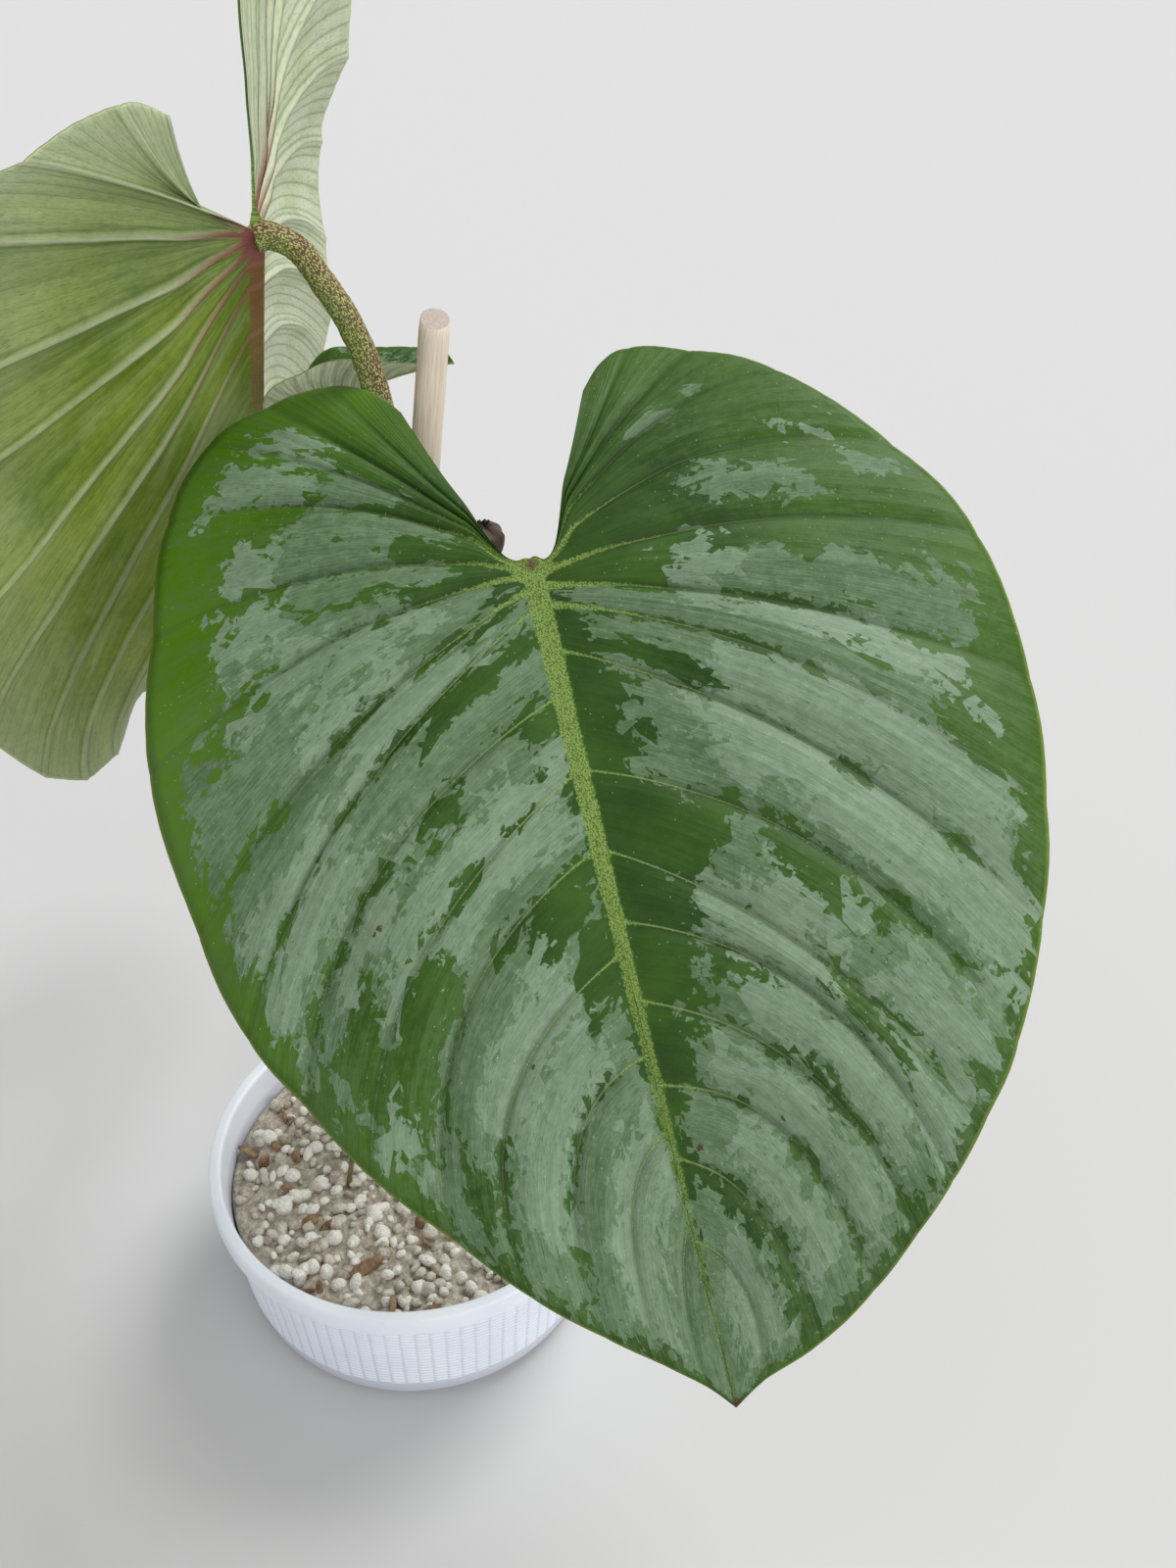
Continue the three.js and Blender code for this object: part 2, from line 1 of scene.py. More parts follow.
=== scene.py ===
import itertools
import math
import bmesh
import bpy
import numpy as np
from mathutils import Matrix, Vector


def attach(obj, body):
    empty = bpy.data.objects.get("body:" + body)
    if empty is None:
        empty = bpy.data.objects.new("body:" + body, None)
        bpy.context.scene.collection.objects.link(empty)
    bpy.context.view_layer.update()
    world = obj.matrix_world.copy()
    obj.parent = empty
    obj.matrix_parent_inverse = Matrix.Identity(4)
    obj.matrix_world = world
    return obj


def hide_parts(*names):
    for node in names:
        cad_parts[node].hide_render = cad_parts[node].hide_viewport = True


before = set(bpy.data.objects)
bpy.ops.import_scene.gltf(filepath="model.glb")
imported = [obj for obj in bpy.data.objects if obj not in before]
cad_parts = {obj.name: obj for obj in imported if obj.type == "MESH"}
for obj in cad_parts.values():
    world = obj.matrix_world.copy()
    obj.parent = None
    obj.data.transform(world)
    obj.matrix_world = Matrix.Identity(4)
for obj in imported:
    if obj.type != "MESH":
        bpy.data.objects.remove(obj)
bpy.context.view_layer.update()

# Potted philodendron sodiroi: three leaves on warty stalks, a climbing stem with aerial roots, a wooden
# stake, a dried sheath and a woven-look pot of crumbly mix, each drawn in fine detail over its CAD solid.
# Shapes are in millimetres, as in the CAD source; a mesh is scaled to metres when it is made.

MM = 0.001


# Small helpers for shapes

def smooth(low, high, value):
    part = np.clip((value - low) / (high - low), 0.0, 1.0)
    return part * part * (3.0 - 2.0 * part)


def unit(way):
    return way / np.linalg.norm(way, axis=-1, keepdims=True)


def points(x, y, z):
    # Places from their three parts, which may be single numbers, rows or columns
    return np.stack(np.broadcast_arrays(x, y, z), -1)


def round_points(radius, angle, height):
    # Places at a radius and an angle round the upright axis
    return points(radius * np.cos(angle), radius * np.sin(angle), height)


def scrambled(cells, seed):
    # A steady random number from 0 to 1 for each whole-numbered cell
    x, y, z = (cells[..., i].astype(np.int64) for i in range(3))
    mixed = (x * 73856093) ^ (y * 19349663) ^ (z * 83492791) ^ (seed * 2654435761)
    mixed = (mixed ^ (mixed >> 13)) * 1274126177
    mixed = (mixed ^ (mixed >> 16)) & 0xFFFFFF
    return mixed / float(0xFFFFFF)


def lumps(places, size, seed):
    # Smooth lumps from -1 to 1, about as wide as size
    scaled = np.asarray(places, float) / size
    cell = np.floor(scaled)
    part = scaled - cell
    part = part * part * (3.0 - 2.0 * part)
    total = 0.0
    for corner in itertools.product((0, 1), repeat=3):
        weight = np.prod(np.where(corner, part, 1.0 - part), axis=-1)
        total = total + weight * scrambled(cell + corner, seed)
    return 2.0 * total - 1.0


def warts(places, size, seed):
    # Round grains set close together: 1 on top of a grain, 0 between grains
    scaled = np.asarray(places, float) / size
    cell = np.floor(scaled)
    nearest = np.full(scaled.shape[:-1], 9.0)
    for corner in itertools.product((-1, 0, 1), repeat=3):
        home = cell + corner
        centre = home + np.stack([scrambled(home, seed + i) for i in range(3)], -1)
        nearest = np.minimum(nearest, np.linalg.norm(scaled - centre, axis=-1))
    return np.clip(1.0 - nearest, 0.0, 1.0)


def smooth_path(stops, count):
    # Evenly spaced places and directions along the curve that the CAD source uses
    stops = np.array(stops, float)
    ends = np.vstack([2 * stops[0] - stops[1], stops, 2 * stops[-1] - stops[-2]])
    run = []
    for a, b, c, d in zip(ends, ends[1:], ends[2:], ends[3:]):
        k0, k1, k2 = (np.linalg.norm(q - p) ** 0.5 for p, q in ((a, b), (b, c), (c, d)))
        way_in = ((b - a) / k0 - (c - a) / (k0 + k1) + (c - b) / k1) * k1
        way_out = ((c - b) / k1 - (d - b) / (k1 + k2) + (d - c) / k2) * k1
        t = np.linspace(0, 1, 40, endpoint=False)[:, None]
        run.append(b + way_in * t + (-3 * b + 3 * c - 2 * way_in - way_out) * t ** 2
                   + (2 * b - 2 * c + way_in + way_out) * t ** 3)
    run = np.vstack(run + [stops[-1:]])
    length = np.concatenate([[0], np.cumsum(np.linalg.norm(np.diff(run, axis=0), axis=1))])
    even = np.linspace(0, length[-1], count)
    places = np.stack([np.interp(even, length, run[:, i]) for i in range(3)], 1)
    ways = unit(np.gradient(places, axis=0))
    return places, ways, even


def carried_frames(ways):
    # Two directions across the path, carried along it without twist
    least = np.eye(3)[np.argmin(np.abs(ways[0]))]
    side = unit(np.cross(ways[0], np.cross(ways[0], least)))
    sides = [side]
    for way in ways[1:]:
        side = unit(side - way * np.dot(side, way))
        sides.append(side)
    sides = np.array(sides)
    return sides, np.cross(ways, sides)


def grid_faces(index, close=False):
    # Four-sided faces between the rows and columns of a grid of point numbers
    if close:
        index = np.hstack([index, index[:, :1]])
    return np.stack([index[:-1, :-1], index[1:, :-1], index[1:, 1:], index[:-1, 1:]], -1).reshape(-1, 4)


def new_piece(name, places, faces, materials, node, attributes=None, face_material=None, flat=False):
    # A mesh object in metres that stands for a CAD node
    mesh = bpy.data.meshes.new(name)
    mesh.from_pydata((np.asarray(places) * MM).tolist(), [], [list(face) for face in faces])
    mesh.validate()
    if not flat:
        mesh.polygons.foreach_set("use_smooth", np.ones(len(mesh.polygons), bool))
    for material in materials:
        mesh.materials.append(material)
    if face_material is not None:
        mesh.polygons.foreach_set("material_index", np.asarray(face_material, np.int32))
    for label, values in (attributes or {}).items():
        layer = mesh.attributes.new(label, "FLOAT_VECTOR", "POINT")
        layer.data.foreach_set("vector", np.asarray(values, np.float32).ravel())
    mesh.update()
    piece = bpy.data.objects.new(name, mesh)
    bpy.context.scene.collection.objects.link(piece)
    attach(piece, "root")
    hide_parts(node)
    return piece


# Small helpers for materials

def paint(red, green, blue):
    # A colour given as it is seen on a screen, 0 to 255, for a shader
    shares = [channel / 255 for channel in (red, green, blue)]
    return tuple(s / 12.92 if s <= 0.04045 else ((s + 0.055) / 1.055) ** 2.4 for s in shares) + (1.0,)


class Recipe:
    # Adds nodes to a tree and joins them; most calls give back an output socket

    def __init__(self, tree):
        self.tree = tree

    def fill(self, node, inputs):
        # Each input is a socket to join or a value to set
        for key, value in inputs.items():
            if isinstance(value, bpy.types.NodeSocket):
                self.tree.links.new(value, node.inputs[key])
            else:
                node.inputs[key].default_value = value

    def add(self, kind, inputs=None, output=0, **settings):
        node = self.tree.nodes.new(kind)
        for key, value in settings.items():
            setattr(node, key, value)
        self.fill(node, inputs or {})
        return node.outputs[output] if len(node.outputs) else None

    def attribute(self, name):
        return self.add("ShaderNodeAttribute", output="Vector", attribute_name=name)

    def math(self, operation, a, b=0.0):
        return self.add("ShaderNodeMath", {0: a, 1: b}, operation=operation)

    def plus(self, a, b):
        return self.math("ADD", a, b)

    def times(self, a, b):
        return self.math("MULTIPLY", a, b)

    def minus(self, a, b):
        return self.math("SUBTRACT", a, b)

    def length(self, x, y):
        return self.math("SQRT", self.plus(self.times(x, x), self.times(y, y)))

    def scaled(self, vector, x, y, z):
        return self.add("ShaderNodeVectorMath", {0: vector, 1: (x, y, z)}, operation="MULTIPLY")

    def parts(self, vector):
        node = self.tree.nodes.new("ShaderNodeSeparateXYZ")
        self.tree.links.new(vector, node.inputs[0])
        return node.outputs[0], node.outputs[1], node.outputs[2]

    def together(self, x, y, z):
        return self.add("ShaderNodeCombineXYZ", {0: x, 1: y, 2: z})

    def remap(self, value, low, high, to_low=0.0, to_high=1.0):
        return self.add("ShaderNodeMapRange", {"Value": value, "From Min": low, "From Max": high,
                                               "To Min": to_low, "To Max": to_high})

    def noise(self, vector, scale, detail=2.0, roughness=0.5):
        return self.add("ShaderNodeTexNoise", {"Vector": vector, "Scale": scale, "Detail": detail,
                                               "Roughness": roughness})

    def cell_value(self, vector, scale):
        colour = self.add("ShaderNodeTexVoronoi", {"Vector": vector, "Scale": scale}, output="Color")
        return self.parts(colour)[0]

    def cell_distance(self, vector, scale):
        return self.add("ShaderNodeTexVoronoi", {"Vector": vector, "Scale": scale}, output="Distance")

    def blend(self, factor, a, b, kind="MIX"):
        return self.add("ShaderNodeMix", {0: factor, 6: a, 7: b}, output=2, data_type="RGBA", blend_type=kind)

    def cover(self, colour, tone, mask, share):
        # Lays a tone over a colour where the mask is, at a share of its full strength
        return self.blend(self.times(mask, share), colour, tone)

    def shaded(self, colour, shade):
        return self.blend(1.0, colour, self.together(shade, shade, shade), "MULTIPLY")

    def bump(self, height, strength, distance):
        return self.add("ShaderNodeBump", {"Height": height, "Strength": strength, "Distance": distance})

    def use(self, group, inputs):
        # Places a shared effect and gives back its named outputs
        node = self.tree.nodes.new("ShaderNodeGroup")
        node.node_tree = group
        self.fill(node, inputs)
        return node.outputs

    def give(self, out, results):
        # Joins a shared effect's results to its named outputs
        for label, value in results.items():
            self.tree.links.new(value, out[label])


def new_effect(name, inputs, outputs):
    # An empty shared effect with named inputs and outputs
    group = bpy.data.node_groups.new(name, "ShaderNodeTree")
    for way, sockets in (("INPUT", inputs), ("OUTPUT", outputs)):
        for label, kind in sockets.items():
            group.interface.new_socket(label, in_out=way, socket_type="NodeSocket" + kind)
    into = group.nodes.new("NodeGroupInput")
    out = group.nodes.new("NodeGroupOutput")
    return group, Recipe(group), into.outputs, out.inputs


def new_material(name):
    material = bpy.data.materials.new(name)
    material.use_nodes = True
    tree = material.node_tree
    tree.nodes.clear()
    return material, Recipe(tree)


def finish_material(recipe, colour, roughness, normal=None, gloss=0.5, glow=None, glow_share=0.0):
    # The surface shader; a thin leaf also lets a little light through, in the colour of its glow
    inputs = {"Base Color": colour, "Roughness": roughness, "Specular IOR Level": gloss}
    if normal is not None:
        inputs["Normal"] = normal
    surface = recipe.add("ShaderNodeBsdfPrincipled", inputs)
    if glow is not None:
        through = recipe.add("ShaderNodeBsdfTranslucent", {"Color": glow})
        surface = recipe.add("ShaderNodeMixShader", {0: glow_share, 1: surface, 2: through})
    recipe.add("ShaderNodeOutputMaterial", {"Surface": surface})


# Shared effects

MINOR_VEINS = 6


def make_marking_effect():
    # Silver markings: a drawn field whose edge is broken up along the veins into blocky teeth
    group, r, given, out = new_effect(
        "marking edges", {"Field": "Float", "Strips": "Vector", "Flat": "Vector", "Teeth": "Float"},
        {"Mask": "Float"})
    blocks = r.cell_value(r.scaled(given["Strips"], 3.0, 11.0, 3.0), 1.0)
    teeth = r.cell_value(r.scaled(given["Strips"], 8.0, 26.0, 3.0), 1.0)
    nicks = r.cell_value(given["Flat"], 0.7)
    broken = r.plus(r.remap(blocks, 0, 1, -0.55, 0.55), r.remap(teeth, 0, 1, -0.42, 0.42))
    broken = r.plus(broken, r.remap(nicks, 0, 1, -0.22, 0.22))
    edge = r.plus(given["Field"], r.times(broken, given["Teeth"]))
    r.give(out, {"Mask": r.remap(edge, -0.12, 0.12)})
    return group


def make_streak_effect():
    # Fine streaks along the side veins, short dark flecks, and the minor veins between two main ones
    group, r, given, out = new_effect("vein streaks", {"Strips": "Vector", "Flat": "Vector", "Row": "Float"},
                                      {"Streaks": "Float", "Flecks": "Float", "Minor": "Float"})
    broad = r.noise(r.scaled(given["Strips"], 5.0, 2.5, 1.0), 1.0, 2.0)
    fine = r.noise(r.scaled(given["Strips"], 48.0, 14.0, 1.0), 1.0, 3.0, 0.6)
    cloudy = r.noise(given["Flat"], 0.5, 4.0, 0.6)
    streaks = r.plus(r.plus(r.times(broad, 0.3), r.times(fine, 0.4)), r.times(cloudy, 0.3))
    flecks = r.noise(r.scaled(given["Strips"], 90.0, 34.0, 1.0), 1.0, 2.0, 0.6)
    wave = r.math("PINGPONG", r.times(given["Row"], MINOR_VEINS), 0.5)
    r.give(out, {"Streaks": streaks, "Flecks": flecks, "Minor": r.times(wave, 2.0)})
    return group


def make_grain_effect():
    # Close-set grains: their height, and a mask of the gaps between them
    group, r, given, out = new_effect("grains", {"Vector": "Vector", "Scale": "Float"},
                                      {"Height": "Float", "Gaps": "Float"})
    distance = r.cell_distance(given["Vector"], given["Scale"])
    r.give(out, {"Height": r.remap(distance, 0.0, 0.75, 1.0, 0.0), "Gaps": r.remap(distance, 0.42, 0.72)})
    return group


def make_speck_effect():
    # Scattered round specks of a given size
    group, r, given, out = new_effect("specks", {"Vector": "Vector", "Scale": "Float", "Size": "Float"},
                                      {"Mask": "Float"})
    distance = r.cell_distance(given["Vector"], given["Scale"])
    edge = r.minus(given["Size"], distance)
    present = r.math("GREATER_THAN", r.cell_value(given["Vector"], given["Scale"]), 0.45)
    r.give(out, {"Mask": r.times(present, r.remap(edge, 0.0, 0.06))})
    return group


MARKING = make_marking_effect()
STREAKS = make_streak_effect()
GRAINS = make_grain_effect()
SPECKS = make_speck_effect()


# Leaves

# The flat tables of the CAD source. Each row is a side vein, from the notch to the tip:
# [start on the midrib, bend x, bend y, margin x, margin y, lift of the margin, groove 0..1]

FRONT_LEAF = {
    "stalk_point": (39.5, 19.5, 242), "tip_way": (0.211, -0.88, -0.43), "face_way": (-0.12, -0.46, 0.88),
    "length": 198, "bend": 25, "lobe_lift": -3, "rib_width": 3, "relief": 1,
    "sides": {
        1: {"fold": 10, "curl": 26, "notch_rounding": 0.6, "veins": [
            [-1.6, 13, -13, 24, -58, 0, 0], [-1.3, 16, -18, 31, -69.5, 0, 0], [-1, 20, -25, 43, -78, 0, 0.4],
            [-0.6, 26, -32, 60, -78, -1, 0.8], [-0.3, 33, -36, 76.5, -69, 0, 0.5],
            [0, 40, -38, 89, -43, 1, 1],
            [1, 45, -18, 97, -10, -1, 1], [3, 47, -1, 101, 27, 1, 1], [6, 56, 27, 96, 69, -1, 0.9],
            [11, 67, 49, 87, 96, 1, 0.9], [35, 62, 60, 78, 113, -1, 1],
            [54, 58, 86, 65, 132, 1, 0.5], [73, 51, 95, 51, 149, -1, 1], [97, 46, 118, 37, 164, 1, 0.8],
            [120, 29, 127, 24, 176, 0, 1], [137, 17, 145, 13, 185, 0, 0.6], [156, 7, 170, 5, 192, 0, 0.4],
            [190, 0, 194, 0, 198, 0, 0]]},
        -1: {"fold": 10, "curl": 26, "notch_rounding": 0.88, "veins": [
            [-1.6, 12, -14, 23, -48.5, 0, 0], [-1.3, 14.5, -18, 29, -56.6, 0, 0],
            [-1, 18, -24, 37, -60, 0, 0.6], [-0.6, 26, -35, 52, -54.7, -1, 0.8],
            [0, 35, -40, 71, -39.6, 1, 0.8], [1, 44, -32, 94, -11.8, -1, 1], [3, 60, -4, 106, 18, 1, 1],
            [6, 57, 21, 108, 56, -1, 1], [11, 53, 31, 101, 87, 1, 0.5], [23, 58, 55, 93, 112, -1, 1],
            [54, 57, 76, 79, 136, 1, 1], [73, 42, 98, 68, 150, 0, 0.5], [90, 48, 107, 57, 161, 1, 1],
            [108, 41, 124, 47, 170, 0, 0.5], [127, 33, 134, 35, 180, -1, 1], [143, 20, 151, 21, 188, 0, 0.5],
            [161, 12, 169, 8, 193, 0, 0.5], [190, 0, 194, 0, 198, 0, 0]]},
    },
}

LEFT_LEAF = {
    "stalk_point": (-32.4, 95.7, 294), "tip_way": (-0.17, 0.3, -0.94), "face_way": (-0.92, 0.29, 0.26),
    "length": 216, "bend": 3, "lobe_lift": 0, "rib_width": 3.2, "relief": 1.7,
    "sides": {
        1: {"fold": 30, "curl": 26, "notch_rounding": 0, "veins": [
            [-3, 16, -16, 28, -66, 6, 0], [-2, 23, -26, 54, -82, 4, 0.8], [-1, 33, -38, 84, -79, 1, 0.8],
            [0, 49, -44, 105, -51, -1, 1], [1, 57, -22, 118, -12, -3, 1], [4, 59, -1, 123, 26, 0, 1],
            [7, 66, 18, 121, 58, 7, 1], [14, 70, 38, 113, 88, 1, 1], [24, 73, 58, 108, 108, -6, 1],
            [46, 74, 80, 101, 127, -4, 1], [72, 68, 104, 90, 146, 2, 0.7], [98, 56, 128, 74, 165, 3, 1],
            [124, 43, 148, 56, 182, -2, 0.6], [148, 30, 168, 38, 197, 1, 1], [170, 17, 184, 21, 207, 0, 0.5],
            [188, 8, 197, 9, 212, 0, 0.4], [206, 0, 211, 0, 216, 0, 0]]},
        -1: {"fold": 7, "curl": -21, "notch_rounding": 0, "veins": [
            [-3, 22, -5, 31, -51, 0, 0], [-2, 30, -22, 46, -61, 0, 0.6], [-1, 46, -46, 72, -59, 0, 0.9],
            [0, 66, -44, 105, -51, 0, 1], [1, 64, -19, 118, -12, -2, 1], [4, 73, 0, 123, 33, 2, 1],
            [7, 79, 31, 117, 84, -2, 1], [14, 84, 62, 107, 117, 1, 1], [30, 88, 90, 93, 148, 0, 1],
            [60, 82, 106, 80, 162, 0, 0.8], [85, 72, 122, 66, 164, 3, 0.9], [110, 50, 140, 41, 169, 19, 0.8],
            [136, 34, 158, 35, 182, 13, 1], [160, 22, 177, 25, 195, 7, 0.6], [184, 10, 196, 12, 207, 2, 0.4],
            [206, 0, 211, 0, 216, 0, 0]]},
    },
}

# The small back leaf: both halves share their rows but not the lift of their margins
BACK_ROWS = [[-0.6, 2, -4, 5, -11], [-0.4, 6, -7, 13, -12.5], [0, 10, -6, 19, -6], [0.5, 11, -2, 19.5, 3],
             [2, 11, 4, 18, 11], [6, 10, 10, 15.5, 18], [12, 8, 16, 12, 25], [19, 5, 23, 7.5, 31],
             [27, 2, 31, 3, 35.5], [36, 0, 37, 0, 38]]
BACK_GROOVES = [0, 0.8, 0.8, 1, 1, 1, 0.8, 0.8, 0.5, 0]
BACK_LIFTS = {1: [0, 3, 4, 2.5, 2, -0.7, -2.8, -3, -1.7, 0], -1: [0, 2, 3, 5, 1.3, -0.5, -1, 0, 2.4, 0]}
BACK_LEAF = {
    "stalk_point": (-19.4, 108.1, 240), "tip_way": (0.83, 0.05, 0.56), "face_way": (-0.56, 0.15, 0.81),
    "length": 38, "bend": 28, "lobe_lift": 0, "rib_width": 1.2, "relief": 0.25,
    "sides": {side: {"fold": fold, "curl": 105, "notch_rounding": 0, "veins": [
        row + [lift, groove] for row, lift, groove in zip(BACK_ROWS, BACK_LIFTS[side], BACK_GROOVES)]}
        for side, fold in ((1, 48), (-1, 30))},
}

# How the blades are drawn, in mm where it is a length. A part is a share of the way from the midrib
# to the margin. The pleats are deeper and the blades thinner than in the CAD source.
PART_SPACING = 1.6
PLEAT_DEPTH = 2.5
PLEAT_START = 0.3
PLEAT_FADE_FROM = 0.6
PLEAT_LOSS = 0.6
CREASE_SHARE = 0.35
CREASE_SHARPNESS = 9
VALLEY_SHARPNESS = 1.5
WAVES = ((0.45, 21, 3), (0.2, 8, 4))
RIB_HEIGHT = 1.5
RIB_SHARE_ABOVE = 0.3
RIB_TAPER = 0.8
RIB_END = 0.7
GRAIN_SHARE_BELOW = 0.6
GRAINED_ROWS = (9.5, 7.5)
GRAINS_AT_JOINT = 5.5
NOTCH_CORNER = (3.5, 13.0)
EDGE_THICKNESS = 0.22
BODY_THICKNESS = 0.62
MINOR_DEPTH = 0.09
GRAIN_SIZE = 0.45
GRAIN_HEIGHT = 0.16

# Silver and green on the front leaf, laid on in this order. Each patch runs between two places
# among the side veins and two parts of the way from the midrib to the margin:
# [from row, to row, from part, to part, tone], where 2 is bright silver, 1 soft silver, 0 green
FRONT_MARKS = {
    1: [[3.9, 4.92, 0.36, 0.62, 1], [3.3, 3.72, 0.70, 0.87, 2], [3.72, 4.15, 0.62, 0.86, 2],
        [4.32, 5, 0.60, 0.88, 2], [5.05, 5.5, 0.20, 0.62, 1], [5.5, 6.05, 0.36, 0.66, 1],
        [5.62, 5.92, 0.67, 0.81, 2], [6.05, 6.6, 0.20, 0.66, 1], [6.05, 6.55, 0.63, 0.83, 2],
        [6.6, 7.05, 0.33, 0.80, 1], [6.85, 7.3, 0.50, 0.76, 2], [7.05, 8, 0.10, 0.93, 1],
        [7.1, 7.5, 0.25, 0.52, 2], [7.6, 7.95, 0.36, 0.60, 2], [7.05, 7.3, 0.76, 0.89, 0],
        [8.05, 9, 0.02, 0.92, 1], [8.2, 9, 0.12, 0.50, 2], [8.5, 9.1, 0.56, 0.88, 2],
        [8.05, 8.4, 0.03, 0.13, 0], [9, 10, 0.02, 0.93, 1], [9.1, 9.8, 0.50, 0.92, 2],
        [9.12, 9.4, 0.02, 0.30, 0], [10, 11, 0.03, 0.92, 1], [10.05, 10.45, 0.42, 0.72, 2],
        [10.5, 11, 0.04, 0.60, 2], [10.05, 10.4, 0.25, 0.40, 0], [10.02, 10.35, 0.0, 0.07, 0],
        [10.45, 11, 0.64, 0.84, 0], [11, 12, 0.04, 0.95, 1], [11.05, 11.6, 0.07, 0.45, 2],
        [11, 11.9, 0.45, 0.84, 0], [11.1, 11.7, 0.80, 0.95, 2], [12, 13, 0.05, 0.95, 1],
        [12.5, 13.2, 0.16, 0.62, 2], [12, 12.6, 0.04, 0.24, 0], [12.4, 12.8, 0.76, 0.93, 0],
        [13, 14, 0.05, 0.96, 1], [13.2, 13.95, 0.17, 0.80, 2], [12.8, 13.4, 0.0, 0.15, 0],
        [14, 17, 0.03, 0.96, 1], [14.6, 15.6, 0.06, 0.90, 2]],
    -1: [[3.68, 4.02, 0.44, 0.60, 1], [3.75, 3.88, 0.70, 0.80, 1], [4.8, 5, 0.74, 0.87, 2],
         [5.28, 5.48, 0.84, 0.93, 1], [5.3, 5.72, 0.40, 0.64, 1], [6.08, 6.22, 0.33, 0.41, 2],
         [6.42, 6.98, 0.28, 0.90, 1], [6.42, 6.78, 0.27, 0.42, 2], [7.05, 8, 0.08, 0.80, 1],
         [7.08, 7.5, 0.30, 0.86, 2], [7.24, 7.46, 0.59, 0.72, 0], [7.7, 8, 0.03, 0.12, 0],
         [8, 9, 0.12, 0.94, 1], [8.02, 8.9, 0.35, 0.92, 2], [8.5, 8.9, 0.02, 0.34, 0],
         [9, 10, 0.12, 0.95, 1], [9.05, 9.75, 0.28, 0.97, 2], [9.6, 9.9, 0.86, 0.95, 2],
         [9, 9.3, 0.0, 0.20, 0], [9.5, 10, 0.0, 0.12, 0], [10, 11, 0.30, 0.97, 1],
         [10.3, 10.9, 0.40, 0.62, 2], [10.3, 11, 0.68, 0.95, 2], [10.02, 10.4, 0.38, 0.66, 0],
         [11, 12, 0.22, 0.97, 1], [10.9, 11.9, 0.25, 0.56, 2], [11.3, 12, 0.66, 0.95, 2],
         [11.1, 11.6, 0.56, 0.80, 0], [12, 13, 0.20, 0.96, 1], [12.1, 12.8, 0.28, 0.88, 2],
         [12, 12.35, 0.20, 0.38, 0], [12.85, 13, 0.40, 0.60, 0], [13, 14, 0.14, 0.96, 1],
         [13.2, 13.9, 0.20, 0.92, 2], [14, 15, 0.08, 0.96, 1], [14.2, 14.8, 0.30, 0.85, 2],
         [15, 15.35, 0.10, 0.42, 0], [15.3, 17, 0.05, 0.96, 1], [15.5, 16.4, 0.25, 0.90, 2]],
}
ROW_SPAN = 16.0
MARK_TAPER = 0.6
NOTHING_NEAR = -20.0


def scattered_marks(rows, count, seed):
    # Markings for a leaf whose upper face the photograph hides
    random = np.random.default_rng(seed)
    marks = []
    for _ in range(count):
        row = random.uniform(2.5, rows - 1.5)
        half = random.uniform(0.14, 0.45)
        part = random.uniform(0.05, 0.75)
        length = random.uniform(0.12, 0.5)
        marks.append([row - half, row + half, part, min(0.93, part + length), int(random.integers(0, 3))])
    return marks


def row_places(rows, starts):
    # The row number, with a fraction, of each station on the midrib
    return np.interp(starts, rows[:, 0], np.arange(len(rows)))


def blended_veins(rows, places):
    # Side veins between the drawn ones: a smooth curve through the four nearest rows
    last = len(rows) - 1
    row = np.minimum(places.astype(int), last - 1)
    f = (places - row)[:, None]
    a, b, c, d = (rows[np.clip(row + i, 0, last)] for i in (-1, 0, 1, 2))
    return 0.5 * (2 * b + (c - a) * f + (2 * a - 5 * b + 4 * c - d) * f ** 2
                  + (3 * b - a - 3 * c + d) * f ** 3)


def flat_places(rows, rounding, places, parts):
    # Flat x and y, and the lift, at each part of the way along each side vein; the notch
    # is drawn in beside the stalk, from a V towards a U
    starts = np.interp(places, np.arange(len(rows)), rows[:, 0])[:, None]
    vein = blended_veins(rows, places)
    s = parts[None, :]
    x = 2 * s * (1 - s) * vein[:, 1:2] + s * s * vein[:, 3:4]
    y = (1 - s) ** 2 * starts + 2 * s * (1 - s) * vein[:, 2:3] + s * s * vein[:, 4:5]
    drawn_in = rounding * smooth(0, NOTCH_CORNER[0], x) * (1 - smooth(*NOTCH_CORNER, x))
    return x, np.where(y < 0, y * (1 - drawn_in), y), vein[:, 5:6] * s * s


def bent_places(leaf, side, x, y, height):
    # The flat place carried onto the bent blade, then into the room
    along = math.radians(leaf["bend"]) / leaf["length"]
    fold = math.radians(leaf["sides"][side]["fold"])
    curl = math.radians(leaf["sides"][side]["curl"]) / 100
    tilt = np.where(x > 0, fold - curl * x, 0.0)
    across = (math.sin(fold) - np.sin(fold - curl * x)) / curl - np.sin(tilt) * height
    lobe = np.where(y < 0, leaf["lobe_lift"] * (y / 50) ** 2, 0.0)
    up = (np.cos(fold - curl * x) - math.cos(fold)) / curl + np.cos(tilt) * height + lobe
    turn = along * y
    local = (side * across, np.sin(turn) / along + np.sin(turn) * up,
             (np.cos(turn) - 1) / along + np.cos(turn) * up)
    tip = unit(np.array(leaf["tip_way"], float))
    face = np.array(leaf["face_way"], float)
    face = unit(face - tip * np.dot(face, tip))
    axes = (np.cross(tip, face), tip, face)
    return np.array(leaf["stalk_point"]) + sum(part[..., None] * axis for part, axis in zip(local, axes))


